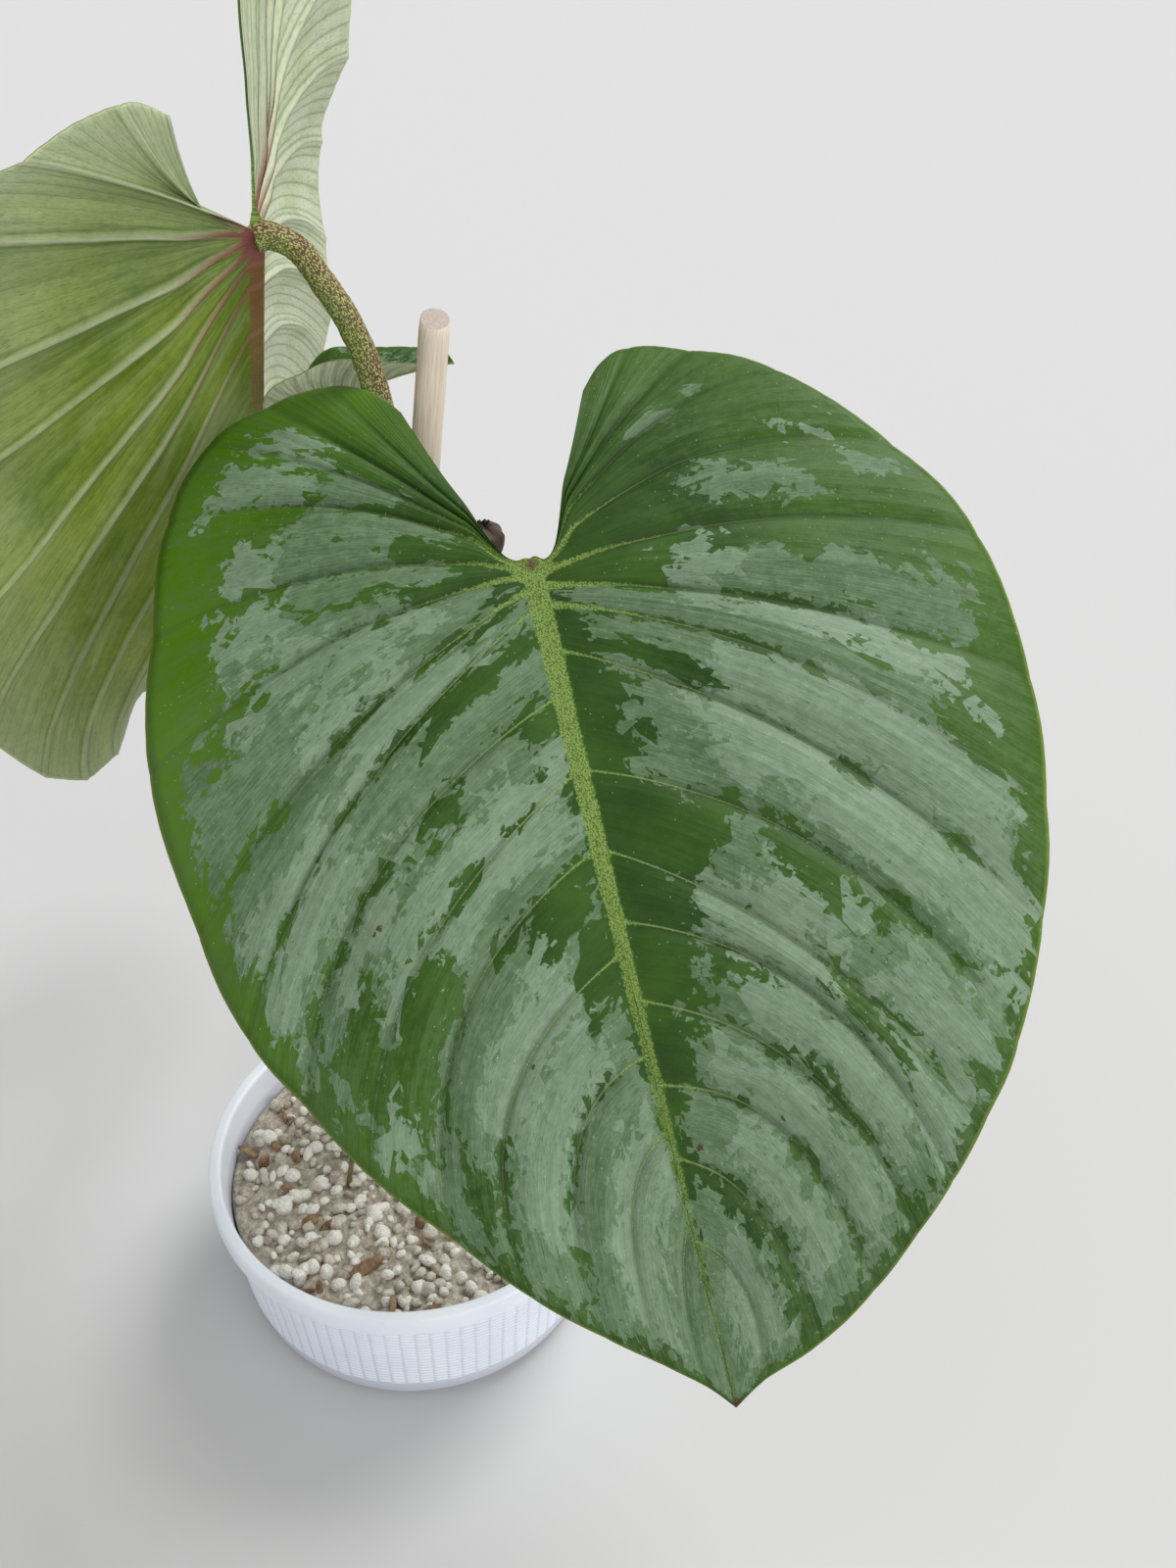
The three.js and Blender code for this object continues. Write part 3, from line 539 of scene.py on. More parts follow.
def midrib_stations(leaf, count):
    # Stations close together where the margins run far, with one on every drawn vein
    first, last = (leaf["sides"][1]["veins"][end][0] for end in (0, -1))
    near_stalk = np.linspace(first, 12 * leaf["length"] / 200, 6000)
    fine = np.unique(np.concatenate([np.linspace(first, last, 6000), near_stalk]))
    travel = np.zeros(len(fine) - 1)
    for side in leaf["sides"].values():
        rows = np.array(side["veins"], float)
        x, y = flat_places(rows, side["notch_rounding"], row_places(rows, fine), np.array([1.0]))[:2]
        travel = np.maximum(travel, np.hypot(np.diff(x[:, 0]), np.diff(y[:, 0])))
    walked = np.concatenate([[0], np.cumsum(travel)])
    stations = np.interp(np.linspace(0, walked[-1], count), walked, fine)
    for side in leaf["sides"].values():
        for vein in side["veins"]:
            nearest = np.argmin(np.abs(stations - vein[0]))
            stations[nearest] = vein[0]
    return np.unique(stations)


def mark_fields(marks, places, parts, length):
    # How far inside the silver and the bright silver each place is, in mm
    silver = np.full((len(places), len(parts)), NOTHING_NEAR)
    bright = silver.copy()
    row = places[:, None]
    part = parts[None, :]
    for low, high, near, far, tone in marks:
        across = ((high - low) / 2 - np.abs(row - (low + high) / 2)) * ROW_SPAN
        along = ((far - near) / 2 - np.abs(part - (near + far) / 2)) * length
        inside = -np.logaddexp(-across, -along * MARK_TAPER)
        if tone == 0:
            silver = np.minimum(silver, -inside)
            bright = np.minimum(bright, -inside)
        else:
            silver = np.maximum(silver, inside)
        if tone == 2:
            bright = np.maximum(bright, inside)
    return silver, bright


def blade_half(leaf, side, starts, parts):
    # One half of a blade laid flat: its rows and places, how far each is from its side vein and inside
    # the rib's grains, the height of its middle layer, and how far both faces stand off that
    size = leaf["length"] / 200
    relief = leaf["relief"]
    rows = np.array(leaf["sides"][side]["veins"], float)
    rounding = leaf["sides"][side]["notch_rounding"]
    row = row_places(rows, starts)
    x, y, lift = flat_places(rows, rounding, row, parts)
    nearest = np.round(row)
    near_x, near_y = flat_places(rows, rounding, nearest, parts)[:2]
    gap = np.hypot(x - near_x, y - near_y)
    close = 1 - 2 * np.abs(row - nearest)[:, None]
    valley = (1 - CREASE_SHARE) * close ** VALLEY_SHARPNESS + CREASE_SHARE * close ** CREASE_SHARPNESS
    pleat = (rows[nearest.astype(int), 6][:, None] * valley * smooth(0, PLEAT_START, parts)
             * (1 - PLEAT_LOSS * smooth(PLEAT_FADE_FROM, 1, parts)))
    rib_half = leaf["rib_width"] * (1 - RIB_TAPER * np.maximum(0, y / leaf["length"]))
    rib = np.maximum(0, 1 - x / rib_half) * (1 - smooth(RIB_END, 1, y / leaf["length"]))
    basal = smooth(*GRAINED_ROWS, row)[:, None]
    grain_reach = size * (basal * (1 - parts / 0.3) + 0.9 * np.exp(-x / (4 * size)))
    near_joint = GRAINS_AT_JOINT * size - np.hypot(x, y)
    grain_field = np.maximum(rib_half - x, np.maximum(grain_reach - gap, near_joint))
    minor = 1 - 2 * np.abs((row * MINOR_VEINS) % 1 - 0.5)[:, None]
    flat = points(side * x, y, 0.0)
    wave = sum(high * lumps(flat, wide * size, seed) for high, wide, seed in WAVES)
    height = (lift - relief * PLEAT_DEPTH * pleat + wave * (smooth(0.03, 0.2, parts) * size)
              - relief * MINOR_DEPTH * minor * smooth(0.05, 0.3, parts) * smooth(0, 3, gap))
    grains = GRAIN_HEIGHT * smooth(-0.6, 0.8, grain_field) * warts(flat, GRAIN_SIZE, 9) * relief
    thick = EDGE_THICKNESS + (BODY_THICKNESS - EDGE_THICKNESS) * smooth(1.0, 0.93, parts)
    shares = ((1, RIB_SHARE_ABOVE, 1.0), (-1, 1.0, GRAIN_SHARE_BELOW))
    stand_off = {face: thick / 2 + rib_share * relief * RIB_HEIGHT * rib + grains * grain_share
                 for face, rib_share, grain_share in shares}
    return row, x, y, gap, grain_field, height, stand_off


def blade(node, leaf, marks, stations, steps, materials, reach):
    # One closed mesh: both faces of both halves, joined along the midrib and round the margin
    starts = midrib_stations(leaf, stations)
    parts = np.linspace(0, 1, steps) ** PART_SPACING
    places, faces, face_material = [], [], []
    labels = {"vein": [], "flat": [], "marks": []}
    shared = {}
    for side in (1, -1):
        row, x, y, gap, grain_field, height, stand_off = blade_half(leaf, side, starts, parts)
        silver, bright = mark_fields(marks[side], row, parts, reach)
        indexes = []
        for face in (1, -1):
            spots = bent_places(leaf, side, x, y, height + face * stand_off[face])
            base = sum(len(block) for block in places)
            index = base + np.arange(x.size).reshape(x.shape)
            if face in shared:
                index[:, 0] = shared[face][:, 0]
                index[-1, :] = shared[face][-1, :]
            shared.setdefault(face, index)
            indexes.append(index)
            places.append(spots.reshape(-1, 3))
            labels["vein"].append(points(row[:, None], parts, gap).reshape(-1, 3))
            labels["flat"].append(points(side * x, y, side).reshape(-1, 3))
            labels["marks"].append(points(silver, bright, grain_field).reshape(-1, 3))
        rim = np.stack([indexes[0][:, -1], indexes[1][:, -1]], 1)
        notch = np.stack([indexes[1][0, :], indexes[0][0, :]], 1)
        skins = ((indexes[0], side, 0), (indexes[1], -side, 1), (rim, side, 0), (notch, side, 0))
        for index, way, slot in skins:
            turned = grid_faces(index)
            faces.append(turned[:, ::-1] if way < 0 else turned)
            face_material.append(np.full(len(turned), slot))
    attributes = {label: np.vstack(blocks) for label, blocks in labels.items()}
    return new_piece(node + "_blade", np.vstack(places), np.vstack(faces), materials, node, attributes,
                     np.concatenate(face_material))


# Leaf finishes

SILVER_TEETH = 3.6
BRIGHT_TEETH = 4.2
LEAF_GLOSS = 0.3
LEAF_BUMP = 0.0004


def leaf_upper(name, tones, scars):
    # Green with silver patches between the side veins, streaks and flecks along them, a grainy pale
    # rib, a lime margin and, where they are given, small brown scars
    material, r = new_material(name)
    row, part, gap = r.parts(r.attribute("vein"))
    flat = r.attribute("flat")
    x, y, side = r.parts(flat)
    silver_field, bright_field, grain_field = r.parts(r.attribute("marks"))
    strips = r.together(row, part, side)
    streaks = r.use(STREAKS, {"Strips": strips, "Flat": flat, "Row": row})
    silver, bright = (
        r.use(MARKING, {"Field": field, "Strips": strips, "Flat": flat, "Teeth": teeth})["Mask"]
        for field, teeth in ((silver_field, SILVER_TEETH), (bright_field, BRIGHT_TEETH)))
    grains = r.use(GRAINS, {"Vector": flat, "Scale": 1.0 / GRAIN_SIZE})
    dust = r.use(SPECKS, {"Vector": flat, "Scale": 0.55, "Size": 0.13})["Mask"]

    broad = r.noise(flat, 0.035, 2.0)
    green = r.blend(r.remap(broad, 0.35, 0.65), tones["deep green"], tones["fresh green"])
    lime_edge = r.times(r.remap(part, 0.45, 0.95), r.remap(row, 13.0, 7.0))
    lime_edge = r.times(lime_edge, r.remap(side, -1.0, 1.0, 0.25, 0.7))
    green = r.blend(lime_edge, green, tones["lime"])
    dull = r.times(r.remap(streaks["Streaks"], 0.45, 0.55), r.remap(part, 0.1, 0.7, 0.15, 1.0))
    green = r.cover(green, tones["dull green"], dull, 0.6)
    soft = r.blend(r.remap(streaks["Streaks"], 0.42, 0.56), tones["dull silver"], tones["soft silver"])
    fleck = r.remap(streaks["Flecks"], 0.56, 0.62)
    soft = r.cover(soft, tones["dull green"], fleck, 0.7)
    colour = r.blend(silver, green, soft)
    lit = r.blend(r.remap(streaks["Streaks"], 0.36, 0.6), tones["soft silver"], tones["bright silver"])
    worn = r.remap(r.noise(flat, 0.09, 2.0), 0.42, 0.58, 0.15, 0.75)
    lit = r.cover(lit, tones["dull green"], fleck, worn)
    colour = r.blend(bright, colour, lit)
    shade = r.remap(streaks["Streaks"], 0.35, 0.65, 0.86, 1.08)
    colour = r.shaded(colour, shade)

    # Painted shade in the crease along each side vein, fading towards the margin
    vein_crease_shade = r.times(r.remap(gap, 0.1, 1.5, 1.0, 0.0), r.remap(part, 0.03, 0.2))
    vein_crease_shade = r.times(vein_crease_shade, r.remap(part, 0.6, 1.0, 1.0, 0.25))
    colour = r.cover(colour, tones["vein shade"], vein_crease_shade, 0.5)
    line = r.times(r.remap(gap, 0.1, 0.28, 1.0, 0.0), r.remap(part, 0.05, 0.6, 0.8, 0.1))
    colour = r.blend(line, colour, tones["vein"])
    rib_edge = r.plus(grain_field, r.remap(r.noise(flat, 1.4, 2.0), 0.0, 1.0, -0.8, 0.8))
    rib_mask = r.remap(rib_edge, -0.15, 0.3)
    rib_colour = r.blend(grains["Gaps"], tones["rib"], tones["rib gaps"])
    colour = r.cover(colour, rib_colour, rib_mask, r.remap(y, 80.0, 170.0, 0.92, 0.3))
    margin = r.remap(part, 0.991, 0.997)
    colour = r.cover(colour, tones["margin"], margin, 0.6)
    colour = r.cover(colour, tones["dust"], dust, 0.22)
    from_joint = r.length(x, y)
    colour = r.blend(r.remap(from_joint, 0.8, 2.4, 0.8, 0.0), colour, tones["joint"])
    ragged = r.remap(r.noise(flat, 1.6, 3.0), 0.0, 1.0, -1.1, 1.1)
    for scar_x, scar_y, scar_size in scars:
        away = r.plus(r.length(r.minus(x, scar_x), r.minus(y, scar_y)), ragged)
        colour = r.blend(r.remap(away, 0.6 * scar_size, scar_size, 0.9, 0.0), colour, tones["scar"])

    roughness = r.remap(streaks["Streaks"], 0.35, 0.65, 0.46, 0.6)
    minor = r.times(r.math("POWER", r.minus(1.0, streaks["Minor"]), 3.0), -1.0)
    relief = r.plus(r.times(streaks["Streaks"], 0.5), r.times(minor, 0.3))
    relief = r.plus(relief, r.times(r.times(grains["Height"], rib_mask), 1.2))
    relief = r.plus(relief, r.times(r.noise(flat, 2.2, 3.0), 0.3))
    normal = r.bump(relief, 0.5, LEAF_BUMP)
    glow = r.blend(0.35, colour, tones["lime"])
    finish_material(r, colour, roughness, normal, LEAF_GLOSS, glow, 0.08)
    return material


def leaf_under(name, tones, far_sheen, redness):
    # Pale green, streaked and veined, with painted shade beside the raised veins; the third argument paints a
    # paler sheen over the half on side 1, and redness colours the rib and the veins near the stalk
    material, r = new_material(name)
    row, part, gap = r.parts(r.attribute("vein"))
    flat = r.attribute("flat")
    x, y, side = r.parts(flat)
    grain_field = r.parts(r.attribute("marks"))[2]
    strips = r.together(row, part, side)
    streaks = r.use(STREAKS, {"Strips": strips, "Flat": flat, "Row": row})
    grains = r.use(GRAINS, {"Vector": flat, "Scale": 1.0 / GRAIN_SIZE})
    broad = r.noise(flat, 0.03, 2.0)
    far = r.remap(side, -1.0, 1.0)
    edge_pale = r.plus(r.remap(part, 0.5, 1.0, 0.0, 0.4), r.remap(row, 5.0, 2.0, 0.0, 0.3))
    edge_pale = r.plus(edge_pale, r.remap(row, 9.0, 13.0, 0.0, 0.35))
    # Painted sheen: the whole half on side 1 is made paler by the share given for it
    pale_and_sheen = r.plus(r.times(far, far_sheen), edge_pale)
    cloud = r.remap(r.plus(r.times(broad, 0.5), r.times(streaks["Streaks"], 0.5)), 0.4, 0.6)
    colour = r.blend(cloud, tones["mid green"], tones["pale green"])
    colour = r.blend(r.remap(pale_and_sheen, 0.0, 1.0), colour, tones["pale"])
    sheen = r.remap(r.noise(r.scaled(strips, 3.0, 5.0, 1.0), 1.0, 3.0), 0.48, 0.66)
    colour = r.cover(colour, tones["sheen"], sheen, 0.4)
    dark = r.remap(streaks["Flecks"], 0.56, 0.64)
    colour = r.cover(colour, tones["dark streak and shade"], dark, 0.4)
    minor = r.math("POWER", r.minus(1.0, streaks["Minor"]), 6.0)
    colour = r.cover(colour, tones["dark streak and shade"], minor, r.remap(far, 0.0, 1.0, 0.12, 0.5))
    band = r.times(r.remap(gap, 0.2, 1.3, 1.0, 0.0), r.remap(part, 0.0, 1.0, 1.0, 0.3))
    colour = r.cover(colour, tones["vein"], band, 0.65)
    # Painted shade in a band beside each raised vein, just outside its pale band; the same dark tone also
    # colours the real dark flecks and minor veins
    vein_foot_shade = r.times(r.remap(gap, 1.2, 1.7), r.remap(gap, 1.7, 2.6, 1.0, 0.0))
    colour = r.cover(colour, tones["dark streak and shade"], vein_foot_shade, 0.45)
    from_joint = r.length(x, y)
    rib_mask = r.remap(grain_field, -0.4, 0.5)
    red = r.times(r.remap(y, 20.0, 100.0, 1.0, 0.0), redness)
    rib_colour = r.blend(red, tones["rib"], tones["red rib"])
    rib_colour = r.cover(rib_colour, tones["rib gaps"], grains["Gaps"], 0.5)
    colour = r.cover(colour, rib_colour, rib_mask, 0.85)
    near_vein = r.times(r.remap(gap, 0.3, 1.6, 1.0, 0.0), r.remap(from_joint, 6.0, 34.0, 0.6, 0.0))
    blush = r.plus(r.remap(from_joint, 2.0, 9.0, 0.9, 0.0), near_vein)
    colour = r.cover(colour, tones["blush"], blush, redness)
    margin = r.remap(part, 0.985, 0.995)
    colour = r.cover(colour, tones["margin"], margin, 0.7)
    shade = r.remap(streaks["Streaks"], 0.35, 0.65, 0.88, 1.1)
    colour = r.shaded(colour, shade)
    relief = r.plus(r.times(streaks["Streaks"], 0.35), r.times(minor, 0.6))
    relief = r.plus(relief, r.times(grains["Height"], rib_mask))
    normal = r.bump(relief, 0.5, LEAF_BUMP)
    roughness = r.remap(streaks["Streaks"], 0.3, 0.7, 0.5, 0.64)
    glow = r.blend(0.4, colour, tones["lime"])
    finish_material(r, colour, roughness, normal, LEAF_GLOSS, glow, 0.2)
    return material


UPPER_TONES = {
    "deep green": paint(32, 66, 6), "fresh green": paint(54, 92, 12), "lime": paint(92, 138, 8),
    "dull green": paint(80, 110, 58), "dull silver": paint(84, 112, 74), "soft silver": paint(108, 133, 102),
    "bright silver": paint(132, 154, 128), "vein": paint(136, 156, 92), "vein shade": paint(30, 54, 20),
    "rib": paint(138, 164, 78), "rib gaps": paint(84, 116, 42), "margin": paint(126, 146, 58),
    "dust": paint(225, 232, 220), "scar": paint(70, 46, 28), "joint": paint(92, 60, 44),
}
UNDER_TONES = {
    "mid green": paint(94, 124, 18), "pale green": paint(142, 162, 62), "sheen": paint(168, 186, 122),
    "pale": paint(214, 222, 190), "dark streak and shade": paint(70, 92, 28), "vein": paint(220, 226, 196),
    "blush": paint(156, 92, 88), "rib": paint(160, 172, 100), "red rib": paint(146, 86, 58),
    "rib gaps": paint(112, 92, 52), "margin": paint(204, 212, 160), "lime": paint(150, 182, 60),
}

# Small brown scars on the front leaf and its dry tip: place across, place along, radius in mm
SCARS = [(52.0, 79.2, 0.9), (53.5, 80.3, 0.7), (-6.0, 142.0, 1.0), (0.0, 198.0, 2.6)]
FRONT_UPPER = leaf_upper("front leaf upper face", UPPER_TONES, SCARS)
UPPER = leaf_upper("leaf upper face", UPPER_TONES, [])
UNDER = leaf_under("leaf underside", UNDER_TONES, 0.0, 0.6)
LEFT_UNDER = leaf_under("left leaf underside", UNDER_TONES, 1.0, 1.0)
BACK_UNDER = leaf_under("back leaf underside", UNDER_TONES, 0.7, 0.1)

LEFT_MARKS = {side: scattered_marks(16, 46, 30 + side) for side in (1, -1)}
BACK_MARKS = {side: scattered_marks(10, 16, 40 + side) for side in (1, -1)}

# The last number is how far a half reaches from the midrib, in mm, for the length of its markings
blade("leaf_front", FRONT_LEAF, FRONT_MARKS, 380, 52, (FRONT_UPPER, UNDER), 100.0)
blade("leaf_left", LEFT_LEAF, LEFT_MARKS, 380, 52, (UPPER, LEFT_UNDER), 110.0)
blade("leaf_back", BACK_LEAF, BACK_MARKS, 150, 34, (UPPER, BACK_UNDER), 18.0)


# Stalks, stem and roots

FRONT_STALK = {"path": [[10.5, 37, 114], [14.5, 37.5, 115], [25.5, 39.5, 136], [36.5, 46.5, 178],
                        [43.5, 43.5, 216], [41.5, 28, 232], [40, 22, 238.5]], "from": 4.2, "to": 3.4}
LEFT_STALK = {"path": [[2, 39, 136], [-2.5, 36, 137], [-8, 42.5, 158], [-4.5, 60.5, 200], [-0.5, 78.5, 240],
                       [-4.6, 87.2, 260.2], [-9.8, 91, 273], [-15.9, 93.8, 282.3], [-21.8, 95.3, 290.6],
                       [-28.7, 95.2, 294], [-31.6, 95.1, 293.6]], "from": 4.2, "to": 3.3}
BACK_STALK = {"path": [[8.5, 43.5, 122], [10.5, 47, 123], [11, 66, 150], [1, 88, 190],
                       [-14.4, 106.8, 232.7], [-18.6, 107.9, 238.8]], "from": 2.2, "to": 1.5}
STEM_PATH = [[-7.5, 17.5, 12], [-3.5, 24.5, 50], [1.5, 32.5, 90], [6.5, 40.5, 130], [9.5, 45.5, 158]]
STEM_RADIUS = 5.2
STEM_TAPER = 1.4
STEM_NODES = 6
NODE_SWELLING = 0.8
AERIAL_ROOTS = [
    [[1.5, 32.5, 90], [10.5, 22.5, 84], [20.5, 6.5, 64], [22.5, -3.5, 42], [20.5, -8.5, 30]],
    [[0.5, 29.5, 78], [-5.5, 18.5, 72], [-15.5, 4.5, 56], [-19.5, -5.5, 41], [-19.5, -8.5, 30]],
    [[-2.5, 27.5, 64], [6.5, 29.5, 59], [15.5, 28.5, 48], [18.5, 28.5, 40], [18.5, 27.5, 30]],
    [[4.5, 36.5, 110], [13.5, 28.5, 104], [20.5, 23.5, 93], [20.5, 21.5, 83]],
]
ROOT_RADIUS = 1.1
WART_HEIGHT = 0.34
WART_SINK = 0.12


def tube(stops, rings, sides, radius_at, relief_at, start=0):
    # A closed round tube: places, faces and straightened places for its finish
    centres, ways, run = smooth_path(stops, rings)
    across, over = carried_frames(ways)
    angle = np.linspace(0, 2 * math.pi, sides, endpoint=False)
    out = across[:, None] * np.cos(angle)[None, :, None] + over[:, None] * np.sin(angle)[None, :, None]
    radius = radius_at(run / run[-1])[:, None] * np.ones(sides)
    straight = round_points(radius, angle, run[:, None])
    radius = radius + relief_at(straight)
    places = centres[:, None] + out * radius[..., None]
    index = start + np.arange(rings * sides).reshape(rings, sides)
    faces = [list(face) for face in grid_faces(index, close=True)[:, ::-1]]
    ends = np.stack([centres[0], centres[-1]])
    last = start + rings * sides
    for ring, centre, step in ((index[0], last, -1), (index[-1], last + 1, 1)):
        loop = list(ring)[::step] + [list(ring)[::step][0]]
        faces += [[centre, a, b] for a, b in zip(loop, loop[1:])]
    straight_ends = np.array([[0, 0, 0], [0, 0, run[-1]]])
    straight = np.vstack([straight.reshape(-1, 3), straight_ends])
    return np.vstack([places.reshape(-1, 3), ends]), faces, straight


def stalk(node, form, rings, sides, wart_size):
    def radius_at(t):
        # It swells a little where it meets the stem and the leaf
        flare = 0.5 * smooth(0.97, 1.0, t) + 0.6 * smooth(0.05, 0.0, t)
        return form["from"] + (form["to"] - form["from"]) * t + flare

    def relief_at(straight):
        # Warts drawn out along the stalk, over broader lumps
        size = form["to"] / 3.5
        long_way = straight * np.array([1.0, 1.0, 0.55])
        lumpy = 0.16 * lumps(straight, 2.6 * wart_size, 22)
        return size * (WART_HEIGHT * warts(long_way, wart_size, 21) - WART_SINK + lumpy)

    places, faces, straight = tube(form["path"], rings, sides, radius_at, relief_at)
    return new_piece(node + "_stalk", places, faces, (STALK,), node, {"straight": straight})


def stalk_finish():
    # Warty skin: small cream and yellow-green warts over a dull green ground with brown patches of its own,
    # browner towards one side as painted shade
    material, r = new_material("warty stalk")
    straight = r.attribute("straight")
    long_way = r.scaled(straight, 1.0, 1.0, 0.7)
    grains, large = (r.use(GRAINS, {"Vector": long_way, "Scale": scale}) for scale in (2.3, 1.7))
    across = r.parts(straight)[0]
    # The brown patches are the stalk's own colour; the lean towards one side of the tube is painted shade
    brown_and_shaded_side = r.plus(r.times(r.noise(straight, 0.12, 3.0), 1.2), r.times(across, -0.1))
    ground = r.blend(r.remap(brown_and_shaded_side, 0.4, 0.8), paint(94, 106, 44), paint(98, 64, 40))
    tops = r.blend(r.noise(straight, 0.9, 2.0), paint(186, 188, 124), paint(154, 166, 92))
    tops_mask = r.remap(r.plus(r.times(grains["Height"], 0.6), r.times(large["Height"], 0.4)), 0.30, 0.44)
    colour = r.blend(tops_mask, ground, tops)
    relief = r.plus(grains["Height"], r.times(large["Height"], 0.5))
    normal = r.bump(relief, 0.6, 0.0005)
    roughness = r.remap(grains["Height"], 0.0, 1.0, 0.62, 0.48)
    finish_material(r, colour, roughness, normal, 0.4)
    return material


def stem_finish():
    # Green-brown bark with a corky net, for the stem and its roots
    material, r = new_material("climbing stem")
    straight = r.attribute("straight")
    grains = r.use(GRAINS, {"Vector": r.scaled(straight, 1.0, 1.0, 0.35), "Scale": 0.6})
    patches = r.remap(r.noise(straight, 0.1, 3.0), 0.4, 0.62)
    colour = r.blend(patches, paint(120, 122, 66), paint(110, 88, 60))
    colour = r.cover(colour, paint(74, 60, 40), grains["Gaps"], 0.6)
    relief = r.plus(grains["Height"], r.noise(r.scaled(straight, 1.0, 1.0, 0.2), 1.6, 3.0))
    normal = r.bump(relief, 0.6, 0.0006)
    roughness = r.remap(grains["Height"], 0.0, 1.0, 0.8, 0.6)
    finish_material(r, colour, roughness, normal)
    return material


STALK = stalk_finish()
STEM = stem_finish()
stalk("petiole_left", LEFT_STALK, 420, 56, 1.25)
stalk("petiole_front", FRONT_STALK, 340, 48, 1.25)
stalk("petiole_back", BACK_STALK, 260, 32, 0.8)


def stem_radius(t):
    nodes = NODE_SWELLING * np.maximum(0, np.cos(2 * math.pi * STEM_NODES * t)) ** 6
    return STEM_RADIUS - STEM_TAPER * t + nodes


def stem_relief(straight):
    # A leaf scar runs round each node, and the bark is finely wrinkled between
    t = straight[..., 2] / straight[-1, 0, 2]
    scar = -0.35 * np.maximum(0, np.cos(2 * math.pi * STEM_NODES * t + 0.5)) ** 60
    return scar + 0.25 * lumps(straight * np.array([1, 1, 0.3]), 1.6, 31) + 0.2 * lumps(straight, 4.0, 32)


def root_radius(t):
    return ROOT_RADIUS * (1 - 0.4 * t)


def root_relief(straight):
    return 0.15 * lumps(straight * np.array([1, 1, 0.5]), 1.1, 33)


def make_stem():
    # The stem and its roots are one piece; the roots' bark starts further along the pattern
    places, faces, straight = tube(STEM_PATH, 260, 56, stem_radius, stem_relief)
    blocks, labels = [places], [straight]
    for path in AERIAL_ROOTS:
        start = sum(len(block) for block in blocks)
        root, root_faces, root_straight = tube(path, 120, 16, root_radius, root_relief, start)
        blocks.append(root)
        labels.append(root_straight + np.array([0, 0, 40]))
        faces = faces + root_faces
    return new_piece("climbing_stem", np.vstack(blocks), faces, (STEM,), "stem",
                     {"straight": np.vstack(labels)})


make_stem()


# Stake

STAKE_RADIUS = 4.0
STAKE_FOOT = np.array([-17.5, 25.5, 4.0])
STAKE_TOP = np.array([14.0, 80.5, 278.0])
STAKE_END_WAY = np.array([0.13, -0.23, 0.97])


def make_stake(materials):
    # A turned dowel, sawn off aslant at its upper end
    rings, sides, end_rings = 90, 72, 14
    way = unit(STAKE_TOP - STAKE_FOOT)
    across, over = (axes[0] for axes in carried_frames(np.stack([way, way])))
    angle = np.linspace(0, 2 * math.pi, sides, endpoint=False)
    out = across * np.cos(angle)[:, None] + over * np.sin(angle)[:, None]
    length = np.linalg.norm(STAKE_TOP - STAKE_FOOT)
    sawn = length - STAKE_RADIUS * (out @ STAKE_END_WAY) / (way @ STAKE_END_WAY)
    t = np.linspace(0, 1, rings)[:, None]
    height = t * sawn[None, :]
    grain = round_points(STAKE_RADIUS, angle, height * 0.05)
    radius = STAKE_RADIUS + 0.05 * lumps(grain, 0.7, 41) - 0.25 * smooth(0.9965, 1.0, t)
    places = STAKE_FOOT + way * height[..., None] + out * radius[..., None]
    straight = round_points(radius, angle, height)
    end_share = np.linspace(1, 0, end_rings + 1)[1:-1, None]
    end_radius = end_share * radius[-1]
    end_height = length + (sawn - length) * end_share
    end_straight = round_points(end_radius, angle, end_height)
    end_height = end_height + 0.08 * lumps(end_straight, 0.5, 42)
    end_places = STAKE_FOOT + way * end_height[..., None] + out * end_radius[..., None]
    all_places = np.vstack([places.reshape(-1, 3), end_places.reshape(-1, 3), STAKE_TOP, STAKE_FOOT])
    middle_straight = [[0, 0, length], [0, 0, 0]]
    all_straight = np.vstack([straight.reshape(-1, 3), end_straight.reshape(-1, 3), middle_straight])
    ring_count = rings + end_rings - 1
    index = np.arange(ring_count * sides).reshape(ring_count, sides)
    faces = [list(face) for face in grid_faces(index, close=True)[:, ::-1]]
    top, foot = ring_count * sides, ring_count * sides + 1
    for a, b in zip(range(sides), list(range(1, sides)) + [0]):
        faces.append([top, index[-1][a], index[-1][b]])
        faces.append([foot, index[0][b], index[0][a]])
    sawn_face = np.concatenate([np.arange(len(faces) - 2 * sides) >= (rings - 1) * sides,
                                np.tile([True, False], sides)])
    return new_piece("stake_dowel", all_places, faces, materials, "stake", {"straight": all_straight},
                     sawn_face.astype(int))


def wood_finish(name, light, dark, speck, grain_way):
    # Fibres drawn out by the grain's three scales, with small dark pores
    material, r = new_material(name)
    straight = r.attribute("straight")
    fibres = r.noise(r.scaled(straight, *grain_way), 1.0, 4.0, 0.6)
    broad = r.noise(r.scaled(straight, 0.2, 0.2, 0.02), 1.0, 2.0)
    colour = r.blend(r.remap(r.plus(r.times(fibres, 0.7), r.times(broad, 0.3)), 0.38, 0.62), dark, light)
    pores = r.use(SPECKS, {"Vector": r.scaled(straight, 1.0, 1.0, grain_way[2] / grain_way[0]), "Scale": 1.1,
                           "Size": 0.16})["Mask"]
    colour = r.cover(colour, speck, pores, 0.7)
    normal = r.bump(fibres, 0.4, 0.0003)
    roughness = r.remap(fibres, 0.3, 0.7, 0.78, 0.6)
    finish_material(r, colour, roughness, normal, 0.3)
    return material


DOWEL = wood_finish("dowel side", paint(224, 213, 196), paint(200, 184, 162), paint(150, 128, 104),
                    (3.0, 3.0, 0.08))
END_GRAIN = wood_finish("dowel end grain", paint(196, 184, 172), paint(170, 154, 142), paint(80, 62, 54),
                        (2.2, 2.2, 2.0))
make_stake((DOWEL, END_GRAIN))


# Dried sheath

